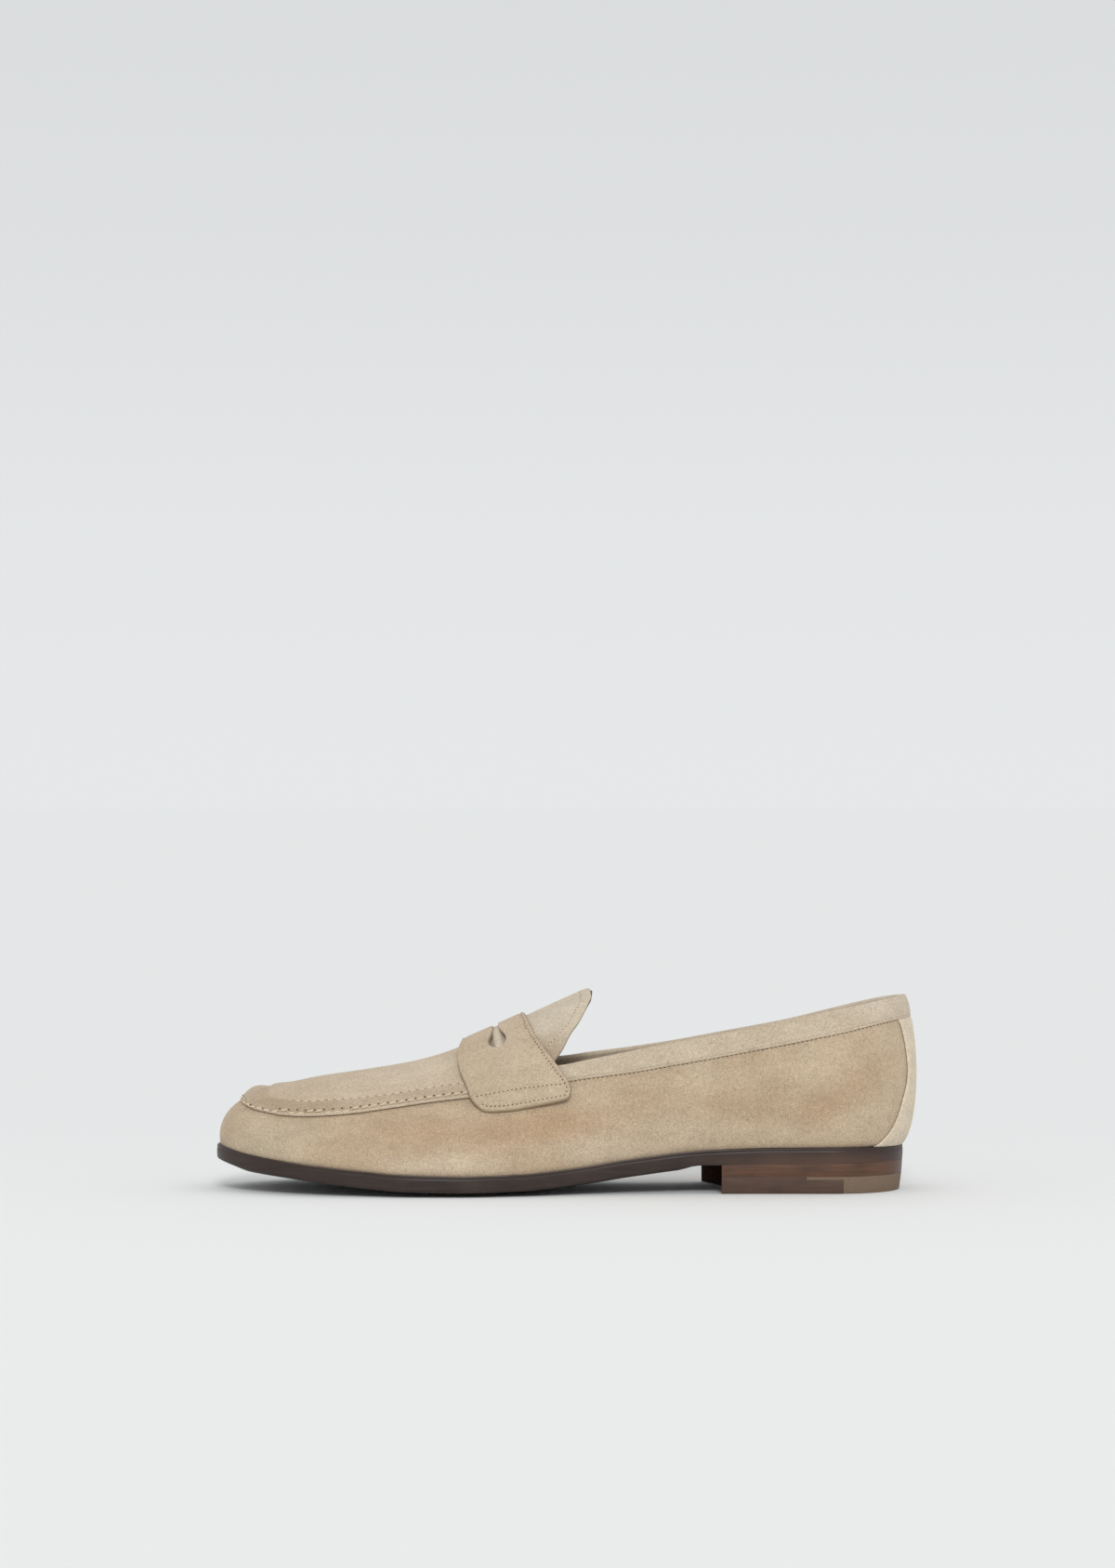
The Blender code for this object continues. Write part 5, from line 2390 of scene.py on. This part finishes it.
    def build_heel(self) -> None:
        """Make the lift, the top piece and the rubber tip."""
        floor, joint = self.level(self.clearance), self.level(self.slab_height)
        above_joint = self.level(self.slab_height + self.joint)
        lift = self.make_slab("heel_lift", above_joint, lambda x: self.seat(x) + self.seat_raise)
        dress(lift, self.finishes[Stuff.LIFT])
        soften(lift, 0.1, 40.0, 2)
        self.paint_breast_shade(lift)
        hand_over(lift, Slot.HEEL, "heel_lift")
        top_piece = self.make_slab("heel_top_piece", floor, joint)
        self.cut_slab(top_piece, "INTERSECT", self.tip_slack)
        dress(top_piece, self.finishes[Stuff.TOP_PIECE])
        soften(top_piece, 0.12, 40.0, 2)
        self.paint_breast_shade(top_piece)
        hand_over(top_piece, Slot.SOLE, "heel_top_piece")
        tip = self.make_slab("heel_rubber_tip", floor, joint)
        self.cut_slab(tip, "DIFFERENCE", 0.0)
        dress(tip, self.finishes[Stuff.RUBBER])
        soften(tip, 0.14, 40.0, 2)
        hand_over(tip, Slot.RUBBER, "heel_rubber_tip")

    def build(self) -> None:
        """Make the outsole, the insole and the heel."""
        sole = lay_sheet("outsole", self.stations, 100, self.place_sole)
        dress(sole, self.finishes[Stuff.SOLE])
        hand_over(sole, Slot.SOLE, "outsole")
        bead = self.make_bead()
        dress(bead, self.finishes[Stuff.BEAD])
        close_ends(bead)
        hand_over(bead, Slot.SOLE)
        insole = lay_sheet("insole", 120, 60, self.place_insole)
        dress(insole, self.finishes[Stuff.SOCK])
        hand_over(insole, Slot.SOCK, "insole")
        self.build_heel()


@dataclass(frozen=True)
class Studio:
    """Pale floor, soft light and the camera at the photograph's angle."""

    camera_place: tuple[float, float, float] = (-3.84, -1900.0, 172.0)
    focal_pixels: float = 4794.0
    frame_height: float = 1687.0
    sensor: float = 36.0
    floor_reach: float = 60.0
    floor_near: Colour = (0.867, 0.882, 0.88)
    floor_far: Colour = (0.823, 0.838, 0.841)
    backdrop: Colour = (0.79, 0.805, 0.82)
    backdrop_top: Colour = (0.70, 0.715, 0.73)
    overhead: Colour = (0.74, 0.74, 0.74)
    sun_strength: float = 1.25
    sun_angle: float = 16.0
    sun_tilt: tuple[float, float, float] = (57.0, 0.0, 4.0)

    def add_floor(self) -> None:
        """A wide floor, painted lighter in front of the shoe than behind it, as a pool of light."""
        deselect_all()
        bpy.ops.mesh.primitive_plane_add(size=self.floor_reach)
        floor = bpy.context.active_object
        floor.name = "floor"
        material, graph, shader = start_material("floor")
        away = graph.vector("MULTIPLY", graph.object_place(), (0.0, 1.0, 0.0))
        far = graph.node("ShaderNodeSeparateXYZ", {0: away}).outputs[1]
        share = graph.spread(far, -0.35, 0.5)
        graph.put(shader.inputs["Base Color"], graph.mix(share, self.floor_near, self.floor_far))
        shader.inputs["Roughness"].default_value = 0.9
        shader.inputs["Specular IOR Level"].default_value = 0.1
        dress(floor, material)

    def add_light(self) -> None:
        """An even pale surround and one soft light from above."""
        world = bpy.data.worlds.new("studio")
        world.use_nodes = True
        graph = Graph(world.node_tree)
        direction = graph.node("ShaderNodeTexCoord", {}).outputs["Generated"]
        height = graph.node("ShaderNodeSeparateXYZ", {0: direction}).outputs[2]
        wall = graph.mix(graph.spread(height, 0.0, 0.2), self.backdrop, self.backdrop_top)
        sky = graph.mix(graph.spread(height, 0.2, 0.5), wall, self.overhead)
        graph.put(world.node_tree.nodes["Background"].inputs["Color"], sky)
        bpy.context.scene.world = world
        lamp = bpy.data.lights.new("softbox", "SUN")
        lamp.energy = self.sun_strength
        lamp.angle = math.radians(self.sun_angle)
        sun = bpy.data.objects.new("softbox", lamp)
        sun.rotation_euler = [math.radians(angle) for angle in self.sun_tilt]
        bpy.context.scene.collection.objects.link(sun)

    def add_camera(self) -> None:
        """A level camera that looks along +Y."""
        lens = bpy.data.cameras.new("camera")
        lens.sensor_width = self.sensor
        lens.lens = self.focal_pixels * self.sensor / self.frame_height
        lens.clip_end = 100.0
        camera = bpy.data.objects.new("camera", lens)
        camera.location = Vector(self.camera_place) * MM
        camera.rotation_euler = (math.pi / 2, 0.0, 0.0)
        bpy.context.scene.collection.objects.link(camera)
        bpy.context.scene.camera = camera

    def build(self) -> None:
        """Set the stage, with colours shown as they are."""
        self.add_floor()
        self.add_light()
        self.add_camera()
        bpy.context.scene.view_settings.view_transform = "Standard"


def main() -> None:
    """Build the shoe from the bottom up and set the stage."""
    logging.basicConfig(level=logging.INFO, format="%(name)s %(message)s")
    finishes = Finishes()
    needlework = Needlework(finishes)
    Studio().build()
    Bottom(finishes).build()
    Upper(finishes, needlework).build()
    Apron(finishes, needlework).build()
    Saddle(finishes, needlework).build()


if __name__ == "__main__":
    main()
